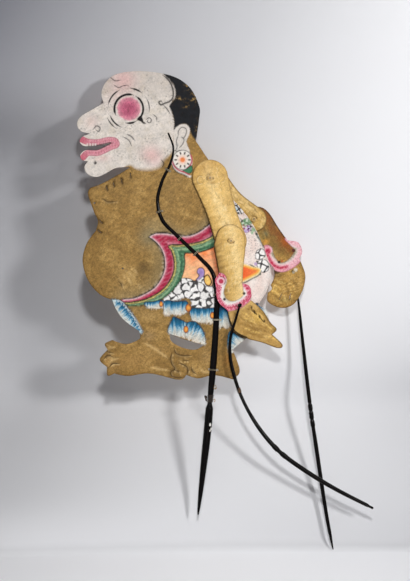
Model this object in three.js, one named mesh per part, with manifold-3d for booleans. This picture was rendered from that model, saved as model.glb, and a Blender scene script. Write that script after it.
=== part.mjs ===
// Shadow puppet of a pot-bellied attendant: a painted rawhide figure gripped by a forked horn rod,
// with two jointed arms that two thin horn rods work.
// Millimetres, +Z up. The figure faces -X and is seen from -Y, its front side. Its body hide lies in
// the plane y = 0, and the origin is the lower point of the main rod.

import * as THREE from 'three';
import { mergeVertices } from 'three/addons/utils/BufferGeometryUtils.js';
import Module from 'manifold-3d';

const wasm = await Module();
wasm.setup();

// Sheets, threads and the gap that touching pieces keep
const CLEAR = 0.3;
const BODY_HIDE = 2;
const ARM_HIDE = 1.8;
const TIE_THREAD = 0.8;
const WHIPPING_THREAD = 1.1;
const MENDING_THREAD = 0.9;
const LOOP_THREAD = 1;

// Pins: a domed head on one side, a button on the other
const PIN_RADIUS = 1.6;
const PIN_HEAD_RADIUS = 4.2;
const PIN_HEAD_HEIGHT = 1.2;
const BUTTON_RADIUS = 3.4;
const BUTTON_HEIGHT = 0.8;

// Places in the plane of the hide, as [x, z]
const SHOULDER = [17.5, 492];

// Arms: lengths between pins, and how far each leans back from hanging straight down, in degrees
const FRONT_UPPER_LENGTH = 97;
const FRONT_UPPER_LEAN = 18.3;
const FRONT_FORE_LEAN = 0;
const REAR_UPPER_LENGTH = 88;
const REAR_UPPER_LEAN = 47;
const REAR_FORE_LEAN = 39;

// Upper arms: round at the shoulder, drawn in a little, then round at the elbow
const FRONT_SHOULDER_ROUND = 26.5;
const FRONT_ARM_WAIST = 43;
const FRONT_ELBOW_ROUND = 23;
const REAR_SHOULDER_ROUND = 24;
const REAR_ARM_WAIST = 29;
const REAR_ELBOW_ROUND = 18.5;

// Holes for the rods' thread loops, in the hands, as [across, down] from the elbow pin
const FRONT_HANDHOLD = [12.8, 93.5];
const REAR_HANDHOLD = [-3.6, 96.7];
const HANDHOLD_RADIUS = 1.3;

// Upper arms lie flat round the shoulder pin, then bow out over the main rod between these radii
const BOW_START = 32;
const BOW_END = 56;
const BOW_STEPS = 6;

// Main rod: depth of each leg outside the hide, and where the split ends
const CHEST_LEG = 1.9;
const HIP_LEG = 3.5;
const SPLIT_FOOT = 181;

// Arm rods
const EYE_RADIUS = 3;
const EYE_BORE = 1.7;
const KNOT_RADIUS = 2.2;
const KNOT_HEIGHT = 1;

// Facets
const ROD_SIDES = 12;
const ARM_ROD_SIDES = 8;
const LOOP_STEPS = 20;
const TUBE_SIDES = 6;
const TIE_SIDES = 5;
const SPLINE_STEPS = 3;
const ROUND_STEPS = 20;
const SMALL_ROUND_STEPS = 12;
const CORNER_STEPS = 3;
const MAIN_ROD_STEP = 14;
const ARM_ROD_STEP = 16;

// Layers, as distances from the middle of the body hide, the same on both sides
const BODY_FACE = BODY_HIDE / 2;
const LEG_SEAT = BODY_FACE + CLEAR;
const ARM_SEAT = BODY_FACE + CLEAR;
const CHEST_TIE_TOP = LEG_SEAT + CHEST_LEG + CLEAR + TIE_THREAD;
const BUTTON_SEAT = CHEST_TIE_TOP + CLEAR;
const ARM_RAISED = BUTTON_SEAT + BUTTON_HEIGHT + CLEAR;
const FORE_SEAT = ARM_RAISED + ARM_HIDE + CLEAR;
const FORE_FACE = FORE_SEAT + ARM_HIDE;
const LOOP_SEAT = FORE_FACE + CLEAR + LOOP_THREAD / 2;
const ARM_ROD_LAYER = LOOP_SEAT + LOOP_THREAD / 2 + CLEAR + EYE_RADIUS;

const FRONT = -1;
const REAR = 1;

// Outline of the body hide, in runs that meet at corners, from the nape over the crown and round the front.
// The face is a plain attendant's: round brow, ball of a nose, open mouth and small chin.
const CROWN = [
  [-3, 546], [1.5, 578], [2, 596], [-11.5, 623.5], [-38, 641], [-82, 648], [-118, 644], [-134.5, 632],
  [-141, 616], [-138, 601.5],
];
const NOSE = [[-138, 601.5], [-157, 590.5], [-171, 582], [-176.5, 571.5], [-172, 561], [-158, 556.5]];
const UPPER_LIP = [[-158, 556.5], [-169, 552], [-172.5, 544.5], [-165.5, 538.5], [-146, 539.5], [-127, 543]];
const LOWER_LIP = [[-127, 543], [-146, 533.5], [-163, 533], [-171.5, 527], [-170, 519], [-161, 516]];
const CHIN = [
  [-161, 516], [-166, 508], [-161.5, 498], [-149, 493.5], [-136, 498], [-120, 506.5], [-99.5, 507.5],
];
const CHEST = [[-99.5, 507.5], [-117, 496.5], [-141.5, 483.5], [-157.5, 477.5]];
const BREAST = [[-157.5, 477.5], [-160.5, 468], [-151, 440]];
const SIDE_ROLL = [[-151, 440], [-146, 429], [-149, 415.5]];
const BELLY = [
  [-149, 415.5], [-163, 395.5], [-168.5, 370], [-160.5, 342.5], [-144, 322.5], [-125.5, 314],
];
const SASH_TAIL = [[-125.5, 314], [-119.5, 300], [-108, 284.5], [-86, 268.5]];
const ANKLE = [[-86, 268.5], [-85.5, 257.5], [-105, 250], [-125.5, 255.5]];
const BIG_TOE = [[-125.5, 255.5], [-136, 250], [-132, 241.5]];
const TOES = [[-132, 241.5], [-143.5, 227], [-133, 216]];
const FORE_TOE = [[-133, 216], [-132, 203.5], [-122.5, 206.5]];
const FRONT_SOLE = [[-122.5, 206.5], [-102, 203], [-70, 206.5], [-28, 197.5], [-17, 204.5]];
const REAR_SOLE = [[-17, 204.5], [0, 199.5], [24, 204], [51, 198]];
const HEEL = [[51, 198], [61, 211], [50.5, 241.5]];
const CLOTH_TAIL = [[50.5, 241.5], [71.5, 258.5], [98, 275], [103.5, 286]];
const CLOTH_HEM = [[103.5, 286], [99, 299], [87.5, 306.5]];
const SEAT = [[87.5, 306.5], [101.5, 330], [106, 356], [97, 387], [82, 421], [61.5, 449], [49.5, 461.5]];
const BACK = [[49.5, 461.5], [33.5, 493.5], [13, 522], [-3, 546]];
const BODY_EDGE = [
  CROWN, NOSE, UPPER_LIP, LOWER_LIP, CHIN, CHEST, BREAST, SIDE_ROLL, BELLY, SASH_TAIL, ANKLE, BIG_TOE, TOES,
  FORE_TOE, FRONT_SOLE, REAR_SOLE, HEEL, CLOTH_TAIL, CLOTH_HEM, SEAT, BACK,
];

// Opening between the two legs
const LEG_GAP = [
  [[-41.5, 264.5], [-17.5, 255.5], [9, 248]],
  [[9, 248], [-5, 241.5], [-24, 245], [-39, 254], [-41.5, 264.5]],
];

// Chiselled slits, from end to end, and drilled dots
const SLIT_WIDTH = 1.6;
const BODY_SLITS = [
  [[-99, 499.5], [-98, 493]],
  [[-112, 491], [-110.5, 484.5]],
  [[-123.5, 486], [-122, 479.5]],
  [[-133.5, 480.5], [-132, 474]],
  [[-144.5, 431], [-139.5, 426]],
  [[-146.5, 416], [-141, 412]],
];
const DOT_RADIUS = 1.1;
const BODY_DOTS = [[-151, 455.5], [-110, 360], [57, 441], [74, 418], [83, 401]];

// Forearm, bracelet and hand, as [across, down] from the elbow pin when the arm hangs straight down
const FRONT_FORE_EDGE = [
  [[-25, 6], [-18, -16], [0, -24.5], [17, -14.5], [21, 7.5], [18, 39.5], [17, 61.5]],
  [[17, 61.5], [27, 66], [30, 79.5], [27.5, 84.5]],
  [[27.5, 84.5], [46.5, 101.5], [57.5, 118.5], [66.5, 128.5], [60, 136]],
  [[60, 136], [75, 151], [68.5, 156], [45.5, 148], [21, 141], [1.5, 126.5], [-5.5, 100.5]],
  [[-5.5, 100.5], [-19, 87.5], [-22, 66.5], [-23, 56], [-17.5, 48]],
  [[-17.5, 48], [-20, 35], [-25, 6]],
];
const REAR_FORE_EDGE = [
  [[-13.5, 42], [-17, 8], [-13, -12], [2, -18], [18, -9], [23, 6], [20, 34], [19, 55]],
  [[19, 55], [29, 67], [25.5, 81], [15.5, 86.5]],
  [[15.5, 86.5], [7, 111], [-12.5, 127], [-34.5, 133], [-51, 125.5], [-60, 106.5], [-51.5, 96]],
  [[-51.5, 96], [-44, 96], [-41.5, 90.5]],
  [[-41.5, 90.5], [-29.5, 84], [-22.5, 74]],
  [[-22.5, 74], [-21.5, 52], [-13.5, 42]],
];
const FRONT_HAND_SLITS = [[[30, 101], [38, 107]], [[40, 109], [48, 118]]];
const REAR_HAND_SLITS = [[[-26, 118], [-34, 124]], [[-36, 110], [-46, 115]]];

// Middle line of the main rod from its lower point up, as [x, z]
const MAIN_ROD_LINE = [
  [0, 0], [7.5, 65.5], [14, 124], [18, 172.5], [22.5, 222], [26.5, 283], [27, 325.5], [20.5, 355],
  [2, 376], [-33, 410], [-52, 430.5], [-59, 458.5], [-52.5, 487], [-40, 514], [-36, 536], [-44, 559],
];
// Half width of the main rod at distances along its line, from the lower point up
const MAIN_ROD_WIDTHS = [
  [0, 1], [12, 2.2], [33, 3.4], [66, 4.6], [95, 5.4], [125, 5.7], [148, 5.8], [157, 5.5], [162, 3.7],
  [165, 3.3], [172, 3.3], [179, 4.2], [186, 4.7], [200, 5], [225, 5.1], [254, 4.8], [284, 4.5], [320, 4.1],
  [352, 3.3], [385, 3.1], [420, 2.8], [462, 3], [490, 2.8], [520, 2.6], [535, 2.4], [560, 1.8], [583, 1.6],
];
const MAIN_ROD_ROUND_TO = 179;
const HIP_LEG_FROM = 200;
const HIP_LEG_TO = 330;
const CHEST_LEG_FROM = 378;
const CHEST_LEG_TO = 530;
const CROWN_LEG = 1.1;

// Ties along the main rod and whippings, by distance along their rod's line
const TIES = [212, 285, 322, 392, 424, 474, 538];
const TIE_TURNS = 2;
const TIE_PITCH = 1.35;
const WHIPPING_START = 165.5;
const WHIPPING_TURNS = 7;
const WHIPPING_PITCH = 1.6;
const MENDING_START = 124;
const MENDING_TURNS = 5;
const MENDING_PITCH = 1.4;

// Arm rods from the eye down, as [x, z] from the eye, and their radii by distance along the line
const FRONT_ROD_LINE = [
  [0, 0], [-6.5, -22], [-13.5, -46.5], [-14, -74.5], [-7.5, -105], [5.5, -140], [28, -178.5],
  [56.5, -211.5], [92.5, -238.5], [137.5, -266], [194, -295],
];
const FRONT_ROD_WIDTHS = [
  [0, 1.4], [12, 1.7], [50, 2.2], [76, 2.5], [100, 2.7], [126, 2.4], [150, 2.4], [170, 2.7], [190, 3],
  [222, 3.3], [224, 3.8], [231, 3.8], [233, 3], [238, 3], [240, 3.8], [246, 3.8], [248, 3.4], [280, 3.4],
  [320, 3.2], [384, 2.6], [388, 1.8],
];
const REAR_ROD_LINE = [
  [0, 0], [6.5, -36.5], [13.5, -99.5], [24.5, -194.5], [33, -253], [48.5, -355], [58.5, -407.5],
];
const REAR_ROD_WIDTHS = [
  [0, 1.4], [40, 1.6], [69, 2.1], [100, 2.4], [148, 2.8], [192, 2.9], [194, 2.4], [197, 3.4], [203, 3.4],
  [205, 2.5], [208, 3.4], [216, 3.4], [218, 2.5], [221, 3.4], [227, 3.4], [229, 2.7], [255, 3.1], [307, 3],
  [358, 2.7], [385, 2.5], [400, 1.7], [412, 0.8],
];

// Solids and skins

function toSolid(geometry) {
  const bare = geometry.clone();
  bare.deleteAttribute('normal');
  bare.deleteAttribute('uv');
  const merged = mergeVertices(bare, 1e-4);
  return new wasm.Manifold(new wasm.Mesh({
    numProp: 3,
    vertProperties: new Float32Array(merged.attributes.position.array),
    triVerts: new Uint32Array(merged.index.array),
  }));
}

function toGeometry(solid) {
  const mesh = solid.getMesh();
  const geometry = new THREE.BufferGeometry();
  geometry.setAttribute('position', new THREE.BufferAttribute(new Float32Array(mesh.vertProperties), 3));
  geometry.setIndex(new THREE.BufferAttribute(new Uint32Array(mesh.triVerts), 1));
  geometry.computeVertexNormals();
  return geometry;
}

// Cuts every cutter from a solid.
function cut(solid, cutters) {
  return cutters.reduce((rest, cutter) => rest.subtract(cutter), solid);
}

// Joins rings of points into one closed skin. Open ends get a flat cap each.
function skin(rings, closed = false) {
  const sides = rings[0].length;
  const spans = closed ? rings.length : rings.length - 1;
  const index = [];
  for (let i = 0; i < spans; i += 1) {
    const near = i * sides;
    const far = ((i + 1) % rings.length) * sides;
    for (let j = 0; j < sides; j += 1) {
      const next = (j + 1) % sides;
      index.push(near + j, near + next, far + next, near + j, far + next, far + j);
    }
  }
  if (!closed) {
    const last = (rings.length - 1) * sides;
    for (let j = 1; j < sides - 1; j += 1) {
      index.push(0, j + 1, j, last, last + j, last + j + 1);
    }
  }
  const geometry = new THREE.BufferGeometry();
  const positions = rings.flat().flatMap((point) => point.toArray());
  geometry.setAttribute('position', new THREE.Float32BufferAttribute(positions, 3));
  geometry.setIndex(index);
  geometry.computeVertexNormals();
  return geometry;
}

// One oval ring about a centre, square to u and v.
function ring(centre, u, v, sides) {
  return Array.from({ length: sides }, (_, j) => {
    const angle = (2 * Math.PI * j) / sides;
    return centre.clone().addScaledVector(u, Math.cos(angle)).addScaledVector(v, Math.sin(angle));
  });
}

// A round tube along points, its rings carried along without twist.
function tube(points, radius, sides, closed = false) {
  const count = points.length;
  const tangents = points.map((point, i) => {
    const before = points[closed ? (i + count - 1) % count : Math.max(i - 1, 0)];
    const after = points[closed ? (i + 1) % count : Math.min(i + 1, count - 1)];
    return after.clone().sub(before).normalize();
  });
  let across = new THREE.Vector3(0, 0, 1);
  if (Math.abs(across.dot(tangents[0])) > 0.9) across = new THREE.Vector3(0, 1, 0);
  const rings = points.map((point, i) => {
    across = across.clone().addScaledVector(tangents[i], -across.dot(tangents[i])).normalize();
    const side = tangents[i].clone().cross(across);
    return ring(point, across.clone().multiplyScalar(radius), side.multiplyScalar(radius), sides);
  });
  return skin(rings, closed);
}

// Flat outlines, drawn in x and z

function outline(runs) {
  const shape = new THREE.Shape();
  shape.moveTo(runs[0][0][0], runs[0][0][1]);
  for (const run of runs) {
    shape.splineThru(run.slice(1).map(([x, z]) => new THREE.Vector2(x, z)));
  }
  return shape;
}

// Turns runs of [across, down] into runs of [x, z].
function hanging(runs) {
  return runs.map((run) => run.map(([across, down]) => [across, -down]));
}

function disc([x, z], radius) {
  const shape = new THREE.Shape();
  shape.absarc(x, z, radius, 0, 2 * Math.PI, false);
  return shape;
}

// A slot with round ends.
function slot([fromX, fromZ], [toX, toZ], width) {
  const angle = Math.atan2(toZ - fromZ, toX - fromX);
  const shape = new THREE.Shape();
  shape.absarc(toX, toZ, width / 2, angle - Math.PI / 2, angle + Math.PI / 2, false);
  shape.absarc(fromX, fromZ, width / 2, angle + Math.PI / 2, angle + (3 * Math.PI) / 2, false);
  return shape;
}

// A sheet of a flat shape between two values of y.
function sheet(shape, near, far, steps = SPLINE_STEPS) {
  const depth = far - near;
  const geometry = new THREE.ExtrudeGeometry(shape, { depth, bevelEnabled: false, curveSegments: steps });
  geometry.rotateX(Math.PI / 2);
  geometry.translate(0, far, 0);
  return toSolid(geometry);
}

// A cutter of a flat shape, through every layer.
function through(shape, steps = 4) {
  const reach = 2 * ARM_ROD_LAYER;
  return sheet(shape, -reach, reach, steps);
}

function slits(list) {
  return list.map(([from, to]) => through(slot(from, to, SLIT_WIDTH)));
}

// A layer between two distances from the body hide's middle, on one side of it.
function layer(side, seat, thickness) {
  const near = side * seat;
  const far = side * (seat + thickness);
  return [Math.min(near, far), Math.max(near, far)];
}

// A revolved profile of [radius, distance], its axis along y, pointing out on one side.
function turned(side, profile, segments) {
  const points = profile.map(([radius, distance]) => new THREE.Vector2(radius, distance));
  const geometry = new THREE.LatheGeometry(points, segments);
  if (side === FRONT) geometry.rotateX(Math.PI);
  return toSolid(geometry);
}

// Places

// The point some way along and across from a place, for an arm that leans back by some degrees.
function reach([x, z], lean, across, down) {
  const angle = THREE.MathUtils.degToRad(lean);
  return [
    x + down * Math.sin(angle) + across * Math.cos(angle),
    z - down * Math.cos(angle) + across * Math.sin(angle),
  ];
}

const FRONT_ELBOW = reach(SHOULDER, FRONT_UPPER_LEAN, 0, FRONT_UPPER_LENGTH);
const REAR_ELBOW = reach(SHOULDER, REAR_UPPER_LEAN, 0, REAR_UPPER_LENGTH);
const FRONT_EYE = reach(FRONT_ELBOW, FRONT_FORE_LEAN, ...FRONT_HANDHOLD);
const REAR_EYE = reach(REAR_ELBOW, REAR_FORE_LEAN, ...REAR_HANDHOLD);

// Reads a size between listed distances along a rod.
function sizeAt(list, distance) {
  const last = list.length - 1;
  const found = list.findIndex(([start]) => start > distance);
  const next = found < 0 ? last : Math.max(found, 1);
  const [from, a] = list[next - 1];
  const [to, b] = list[next];
  return THREE.MathUtils.lerp(a, b, THREE.MathUtils.clamp((distance - from) / (to - from), 0, 1));
}

// A rod's middle line, with the point and the directions at a distance along it.
function rodLine(points, y) {
  const places = points.map(([x, z]) => new THREE.Vector3(x, y, z));
  const curve = new THREE.CatmullRomCurve3(places, false, 'centripetal');
  curve.arcLengthDivisions = 400;
  const length = curve.getLength();
  const depth = new THREE.Vector3(0, 1, 0);
  return {
    length,
    at(distance) {
      const share = THREE.MathUtils.clamp(distance / length, 0, 1);
      const along = curve.getTangentAt(share);
      return { point: curve.getPointAt(share), along, across: depth.clone().cross(along).normalize(), depth };
    },
  };
}

// A tapered rod: an oval ring at every listed distance, and steps between them where it bends.
function rod(line, widths, halfDepth, step, sides) {
  const marks = new Set(widths.map(([distance]) => Math.min(distance, line.length)));
  const count = Math.round(line.length / step);
  for (let i = 0; i <= count; i += 1) marks.add((line.length * i) / count);
  const distances = [...marks].sort((a, b) => a - b).filter((d, i, all) => i === 0 || d - all[i - 1] > 0.5);
  const rings = distances.map((distance) => {
    const { point, across, depth } = line.at(distance);
    const wide = across.clone().multiplyScalar(sizeAt(widths, distance));
    return ring(point, wide, depth.clone().multiplyScalar(halfDepth(distance)), sides);
  });
  return toSolid(skin(rings));
}

// Thread wound round a rod as one tube, both ends running straight off at the rear.
function winding({ line, start, turns, pitch, thread, wide, deep, sides }) {
  const points = [];
  for (let i = 0; i <= turns * LOOP_STEPS; i += 1) {
    const turn = i / LOOP_STEPS;
    const distance = start + turn * pitch;
    const { point, across, depth } = line.at(distance);
    const angle = Math.PI / 2 + 2 * Math.PI * turn;
    point.addScaledVector(across, Math.cos(angle) * (wide(distance) + CLEAR + thread / 2));
    point.addScaledVector(depth, Math.sin(angle) * (deep(distance) + CLEAR + thread / 2));
    points.push(point);
  }
  const { across } = line.at(start);
  points.unshift(points[0].clone().addScaledVector(across, thread));
  points.push(points.at(-1).clone().addScaledVector(across, -thread));
  return { points, geometry: tube(points, thread / 2, sides), gap: gapToItself(points, thread) };
}

// Least gap of a winding to itself, between points more than half a loop apart.
function gapToItself(points, thread) {
  let least = Infinity;
  points.forEach((point, i) => {
    for (let j = i + LOOP_STEPS / 2; j < points.length; j += 1) {
      least = Math.min(least, point.distanceTo(points[j]) - thread);
    }
  });
  return least;
}

// Finishes
const finish = (color, roughness, metalness = 0) => () => (
  new THREE.MeshStandardMaterial({ color, roughness, metalness })
);
const paintedHide = finish(0xa58452, 0.62);
const armHide = finish(0xcfae70, 0.6);
const darkHide = finish(0x8c6b40, 0.62);
const horn = finish(0x141214, 0.22);
const bone = finish(0xcbbf9f, 0.45);
const paleThread = finish(0xcfc4ad, 0.9);
const brownThread = finish(0x6b4a2c, 0.9);

const puppet = new THREE.Group();

function place(parent, name, geometry, material, position = [0, 0, 0], lean = 0) {
  const mesh = new THREE.Mesh(geometry, material());
  mesh.name = name;
  mesh.position.set(...position);
  mesh.rotation.y = -THREE.MathUtils.degToRad(lean);
  parent.add(mesh);
  return mesh;
}

// Main rod: one horn, round below, split above into two legs that follow both faces of the hide

const mainLine = rodLine(MAIN_ROD_LINE, 0);
const mainWide = (distance) => sizeAt(MAIN_ROD_WIDTHS, distance);
const LEG_DEPTHS = [
  [MAIN_ROD_ROUND_TO, mainWide(MAIN_ROD_ROUND_TO)],
  [HIP_LEG_FROM, LEG_SEAT + HIP_LEG],
  [HIP_LEG_TO, LEG_SEAT + HIP_LEG],
  [CHEST_LEG_FROM, LEG_SEAT + CHEST_LEG],
  [CHEST_LEG_TO, LEG_SEAT + CHEST_LEG],
  [mainLine.length, LEG_SEAT + CROWN_LEG],
];
const mainDeep = (distance) => (
  distance < MAIN_ROD_ROUND_TO ? mainWide(distance) : sizeAt(LEG_DEPTHS, distance)
);

function mainRod() {
  const whole = rod(mainLine, MAIN_ROD_WIDTHS, mainDeep, MAIN_ROD_STEP, ROD_SIDES);
  const top = MAIN_ROD_LINE.at(-1)[1] + 2 * HIP_LEG;
  const half = Math.max(...MAIN_ROD_LINE.map(([x]) => Math.abs(x))) * 2;
  const split = new THREE.Shape([
    new THREE.Vector2(-half, SPLIT_FOOT), new THREE.Vector2(half, SPLIT_FOOT),
    new THREE.Vector2(half, top), new THREE.Vector2(-half, top),
  ]);
  return toGeometry(whole.subtract(sheet(split, -LEG_SEAT, LEG_SEAT)));
}

place(puppet, 'main_rod', mainRod(), horn);

// Ties, and the two holes that each needs in the hide

const tieHoles = [];
let leastTieGap = Infinity;
TIES.forEach((start, i) => {
  const tie = winding({
    line: mainLine, start, turns: TIE_TURNS, pitch: TIE_PITCH, thread: TIE_THREAD,
    wide: mainWide, deep: mainDeep, sides: TIE_SIDES,
  });
  place(puppet, `main_rod_tie_${i + 1}`, tie.geometry, paleThread);
  leastTieGap = Math.min(leastTieGap, tie.gap);
  for (const side of [-1, 1]) {
    const crossings = [0.25, TIE_TURNS - 0.25].map((turn) => {
      const { point, across } = mainLine.at(start + turn * TIE_PITCH);
      const offset = mainWide(start + turn * TIE_PITCH) + CLEAR + TIE_THREAD / 2;
      return point.addScaledVector(across, side * offset);
    });
    const ends = crossings.map((point) => [point.x, point.z]);
    tieHoles.push(through(slot(ends[0], ends[1], TIE_THREAD + 2 * CLEAR)));
  }
});
console.log(`main rod ties: least gap to itself ${leastTieGap.toFixed(2)} mm`);

const whipping = winding({
  line: mainLine, start: WHIPPING_START, turns: WHIPPING_TURNS, pitch: WHIPPING_PITCH,
  thread: WHIPPING_THREAD, wide: mainWide, deep: mainDeep, sides: TUBE_SIDES,
});
place(puppet, 'neck_whipping', whipping.geometry, brownThread);
console.log(`neck whipping: least gap to itself ${whipping.gap.toFixed(2)} mm`);

// Body hide

const bodyHoles = [
  through(disc(SHOULDER, PIN_RADIUS + CLEAR), ROUND_STEPS),
  through(outline(LEG_GAP)),
  ...slits(BODY_SLITS),
  ...BODY_DOTS.map((place) => through(disc(place, DOT_RADIUS), 8)),
  ...tieHoles,
];
const bodyHide = cut(sheet(outline(BODY_EDGE), -BODY_FACE, BODY_FACE), bodyHoles);
place(puppet, 'body_hide', toGeometry(bodyHide), paintedHide);

// Arms: the front one lies before the hide, the rear one behind it, in the same layers

// Outline of an upper arm that hangs from its shoulder pin.
function upperArmShape(length, shoulderRound, waist, elbowRound) {
  const shape = new THREE.Shape();
  shape.absarc(0, 0, shoulderRound, 0, Math.PI, false);
  shape.splineThru([
    new THREE.Vector2(-waist / 2, -length / 2), new THREE.Vector2(-elbowRound, -length),
  ]);
  shape.absarc(0, -length, elbowRound, Math.PI, 2 * Math.PI, false);
  shape.splineThru([new THREE.Vector2(waist / 2, -length / 2), new THREE.Vector2(shoulderRound, 0)]);
  return shape;
}

// A dished disc about the shoulder pin: flat within BOW_START, raised past BOW_END.
function dish(side, radius) {
  const rise = ARM_RAISED - ARM_SEAT;
  const inner = [[0, ARM_SEAT]];
  for (let i = 0; i <= BOW_STEPS; i += 1) {
    const share = i / BOW_STEPS;
    const distance = ARM_SEAT + rise * THREE.MathUtils.smoothstep(share, 0, 1);
    inner.push([THREE.MathUtils.lerp(BOW_START, BOW_END, share), distance]);
  }
  inner.push([radius, ARM_RAISED]);
  const outer = inner.map(([r, distance]) => [r, distance + ARM_HIDE]).reverse();
  return turned(side, [...inner, ...outer], 48);
}

function upperArm(side, length, shoulderRound, waist, elbowRound) {
  const flat = through(upperArmShape(length, shoulderRound, waist, elbowRound), 10);
  const bowed = flat.intersect(dish(side, length + 2 * elbowRound));
  const holes = [[0, 0], [0, -length]].map((place) => through(disc(place, PIN_RADIUS + CLEAR), ROUND_STEPS));
  return toGeometry(cut(bowed, holes));
}

function forearm(side, edge, handhold, handSlits) {
  const flat = sheet(outline(hanging(edge)), ...layer(side, FORE_SEAT, ARM_HIDE));
  const holes = [
    through(disc([0, 0], PIN_RADIUS + CLEAR), ROUND_STEPS),
    through(disc([handhold[0], -handhold[1]], HANDHOLD_RADIUS), SMALL_ROUND_STEPS),
    ...slits(hanging(handSlits)),
  ];
  return toGeometry(cut(flat, holes));
}

// Pins: a shank from button to head, square to the hide

function pin(side, buttonSeat, headSeat) {
  const shank = Math.abs(headSeat - buttonSeat);
  const profile = [[0, 0], [PIN_RADIUS, 0], [PIN_RADIUS, shank], [PIN_HEAD_RADIUS, shank]];
  const domeSteps = 4;
  for (let i = 1; i <= domeSteps; i += 1) {
    const angle = (Math.PI / 2) * (i / domeSteps);
    profile.push([PIN_HEAD_RADIUS * Math.cos(angle), shank + PIN_HEAD_HEIGHT * Math.sin(angle)]);
  }
  profile.at(-1)[0] = 0;
  return toGeometry(turned(side, profile, ROUND_STEPS));
}

// A button: a ring round the foot of the shank, with its outer edge bevelled
function button(side) {
  const bore = PIN_RADIUS + CLEAR;
  const edge = BUTTON_HEIGHT / 4;
  const profile = [
    [bore, 0], [BUTTON_RADIUS - edge, 0], [BUTTON_RADIUS, edge], [BUTTON_RADIUS, BUTTON_HEIGHT],
    [bore, BUTTON_HEIGHT], [bore, 0],
  ];
  return toGeometry(turned(side, profile, ROUND_STEPS));
}

const shoulderHead = ARM_SEAT + ARM_HIDE + CLEAR;
const shoulderEnd = shoulderHead + BUTTON_HEIGHT;
const shoulderFoot = [SHOULDER[0], shoulderEnd, SHOULDER[1]];
place(puppet, 'shoulder_pin', pin(FRONT, -shoulderEnd, shoulderHead), bone, shoulderFoot);
place(puppet, 'shoulder_button', button(FRONT), bone, shoulderFoot);

// Thread loop between a hand and the eye of its rod: knot, stem through the hand, and a ring through the eye
function rodLoop(side) {
  const reachOut = EYE_RADIUS + CLEAR + LOOP_THREAD / 2;
  const corner = LOOP_THREAD * 0.8;
  const low = side * LOOP_SEAT;
  const high = side * ARM_ROD_LAYER;
  const points = [];
  const corners = [[reachOut, high], [-reachOut, high], [-reachOut, low], [reachOut, low]];
  corners.forEach(([x, y], quarter) => {
    const outwards = y === high ? side : -side;
    for (let i = 0; i <= CORNER_STEPS; i += 1) {
      const angle = (Math.PI / 2) * (quarter + i / CORNER_STEPS);
      points.push(new THREE.Vector3(
        x - Math.sign(x) * corner + corner * Math.cos(angle),
        y - outwards * corner + side * corner * Math.sin(angle),
        0,
      ));
    }
  });
  const loop = toSolid(tube(side === REAR ? points : points.reverse(), LOOP_THREAD / 2, TUBE_SIDES, true));
  const foot = FORE_SEAT - CLEAR - KNOT_HEIGHT;
  const knotTop = FORE_SEAT - CLEAR;
  const stem = LOOP_THREAD * 0.7;
  const stemAndKnot = turned(side, [
    [0, foot], [KNOT_RADIUS * 0.7, foot], [KNOT_RADIUS, foot + KNOT_HEIGHT / 2], [KNOT_RADIUS * 0.7, knotTop],
    [stem, knotTop], [stem, LOOP_SEAT], [0, LOOP_SEAT],
  ], SMALL_ROUND_STEPS);
  return toGeometry(loop.add(stemAndKnot));
}

// A horn arm rod with a round eye, bored across for its thread loop
function armRod(side, line, widths) {
  const shaft = rod(line, widths, (distance) => sizeAt(widths, distance), ARM_ROD_STEP, ARM_ROD_SIDES);
  const eye = toSolid(new THREE.SphereGeometry(EYE_RADIUS, 14, 10).translate(0, side * ARM_ROD_LAYER, 0));
  const bore = new THREE.CylinderGeometry(EYE_BORE / 2, EYE_BORE / 2, 4 * EYE_RADIUS, 10);
  bore.rotateZ(Math.PI / 2).translate(0, side * ARM_ROD_LAYER, 0);
  return toGeometry(shaft.add(eye).subtract(toSolid(bore)));
}

function addArm(name, side, upper, fore, rodShape) {
  const [upperLength, upperLean, shoulderRound, waist, elbowRound] = upper;
  const [foreLean, edge, handhold, handSlits, elbow, eye, foreFinish] = fore;
  place(
    puppet, `${name}_upper_arm`, upperArm(side, upperLength, shoulderRound, waist, elbowRound), armHide,
    [SHOULDER[0], 0, SHOULDER[1]], upperLean,
  );
  place(
    puppet, `${name}_forearm`, forearm(side, edge, handhold, handSlits), foreFinish,
    [elbow[0], 0, elbow[1]], foreLean,
  );
  const pinFoot = [elbow[0], side * BUTTON_SEAT, elbow[1]];
  place(puppet, `${name}_elbow_pin`, pin(side, BUTTON_SEAT, FORE_FACE + CLEAR), bone, pinFoot);
  place(puppet, `${name}_elbow_button`, button(side), bone, pinFoot);
  const eyePlace = [eye[0], 0, eye[1]];
  place(puppet, `${name}_rod_loop`, rodLoop(side), paleThread, eyePlace);
  const line = rodLine(rodShape.line, side * ARM_ROD_LAYER);
  place(puppet, `${name}_arm_rod`, armRod(side, line, rodShape.widths), horn, eyePlace);
  return { line, eyePlace };
}

const front = addArm(
  'front', FRONT,
  [FRONT_UPPER_LENGTH, FRONT_UPPER_LEAN, FRONT_SHOULDER_ROUND, FRONT_ARM_WAIST, FRONT_ELBOW_ROUND],
  [FRONT_FORE_LEAN, FRONT_FORE_EDGE, FRONT_HANDHOLD, FRONT_HAND_SLITS, FRONT_ELBOW, FRONT_EYE, armHide],
  { line: FRONT_ROD_LINE, widths: FRONT_ROD_WIDTHS },
);
addArm(
  'rear', REAR,
  [REAR_UPPER_LENGTH, REAR_UPPER_LEAN, REAR_SHOULDER_ROUND, REAR_ARM_WAIST, REAR_ELBOW_ROUND],
  [REAR_FORE_LEAN, REAR_FORE_EDGE, REAR_HANDHOLD, REAR_HAND_SLITS, REAR_ELBOW, REAR_EYE, darkHide],
  { line: REAR_ROD_LINE, widths: REAR_ROD_WIDTHS },
);

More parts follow.
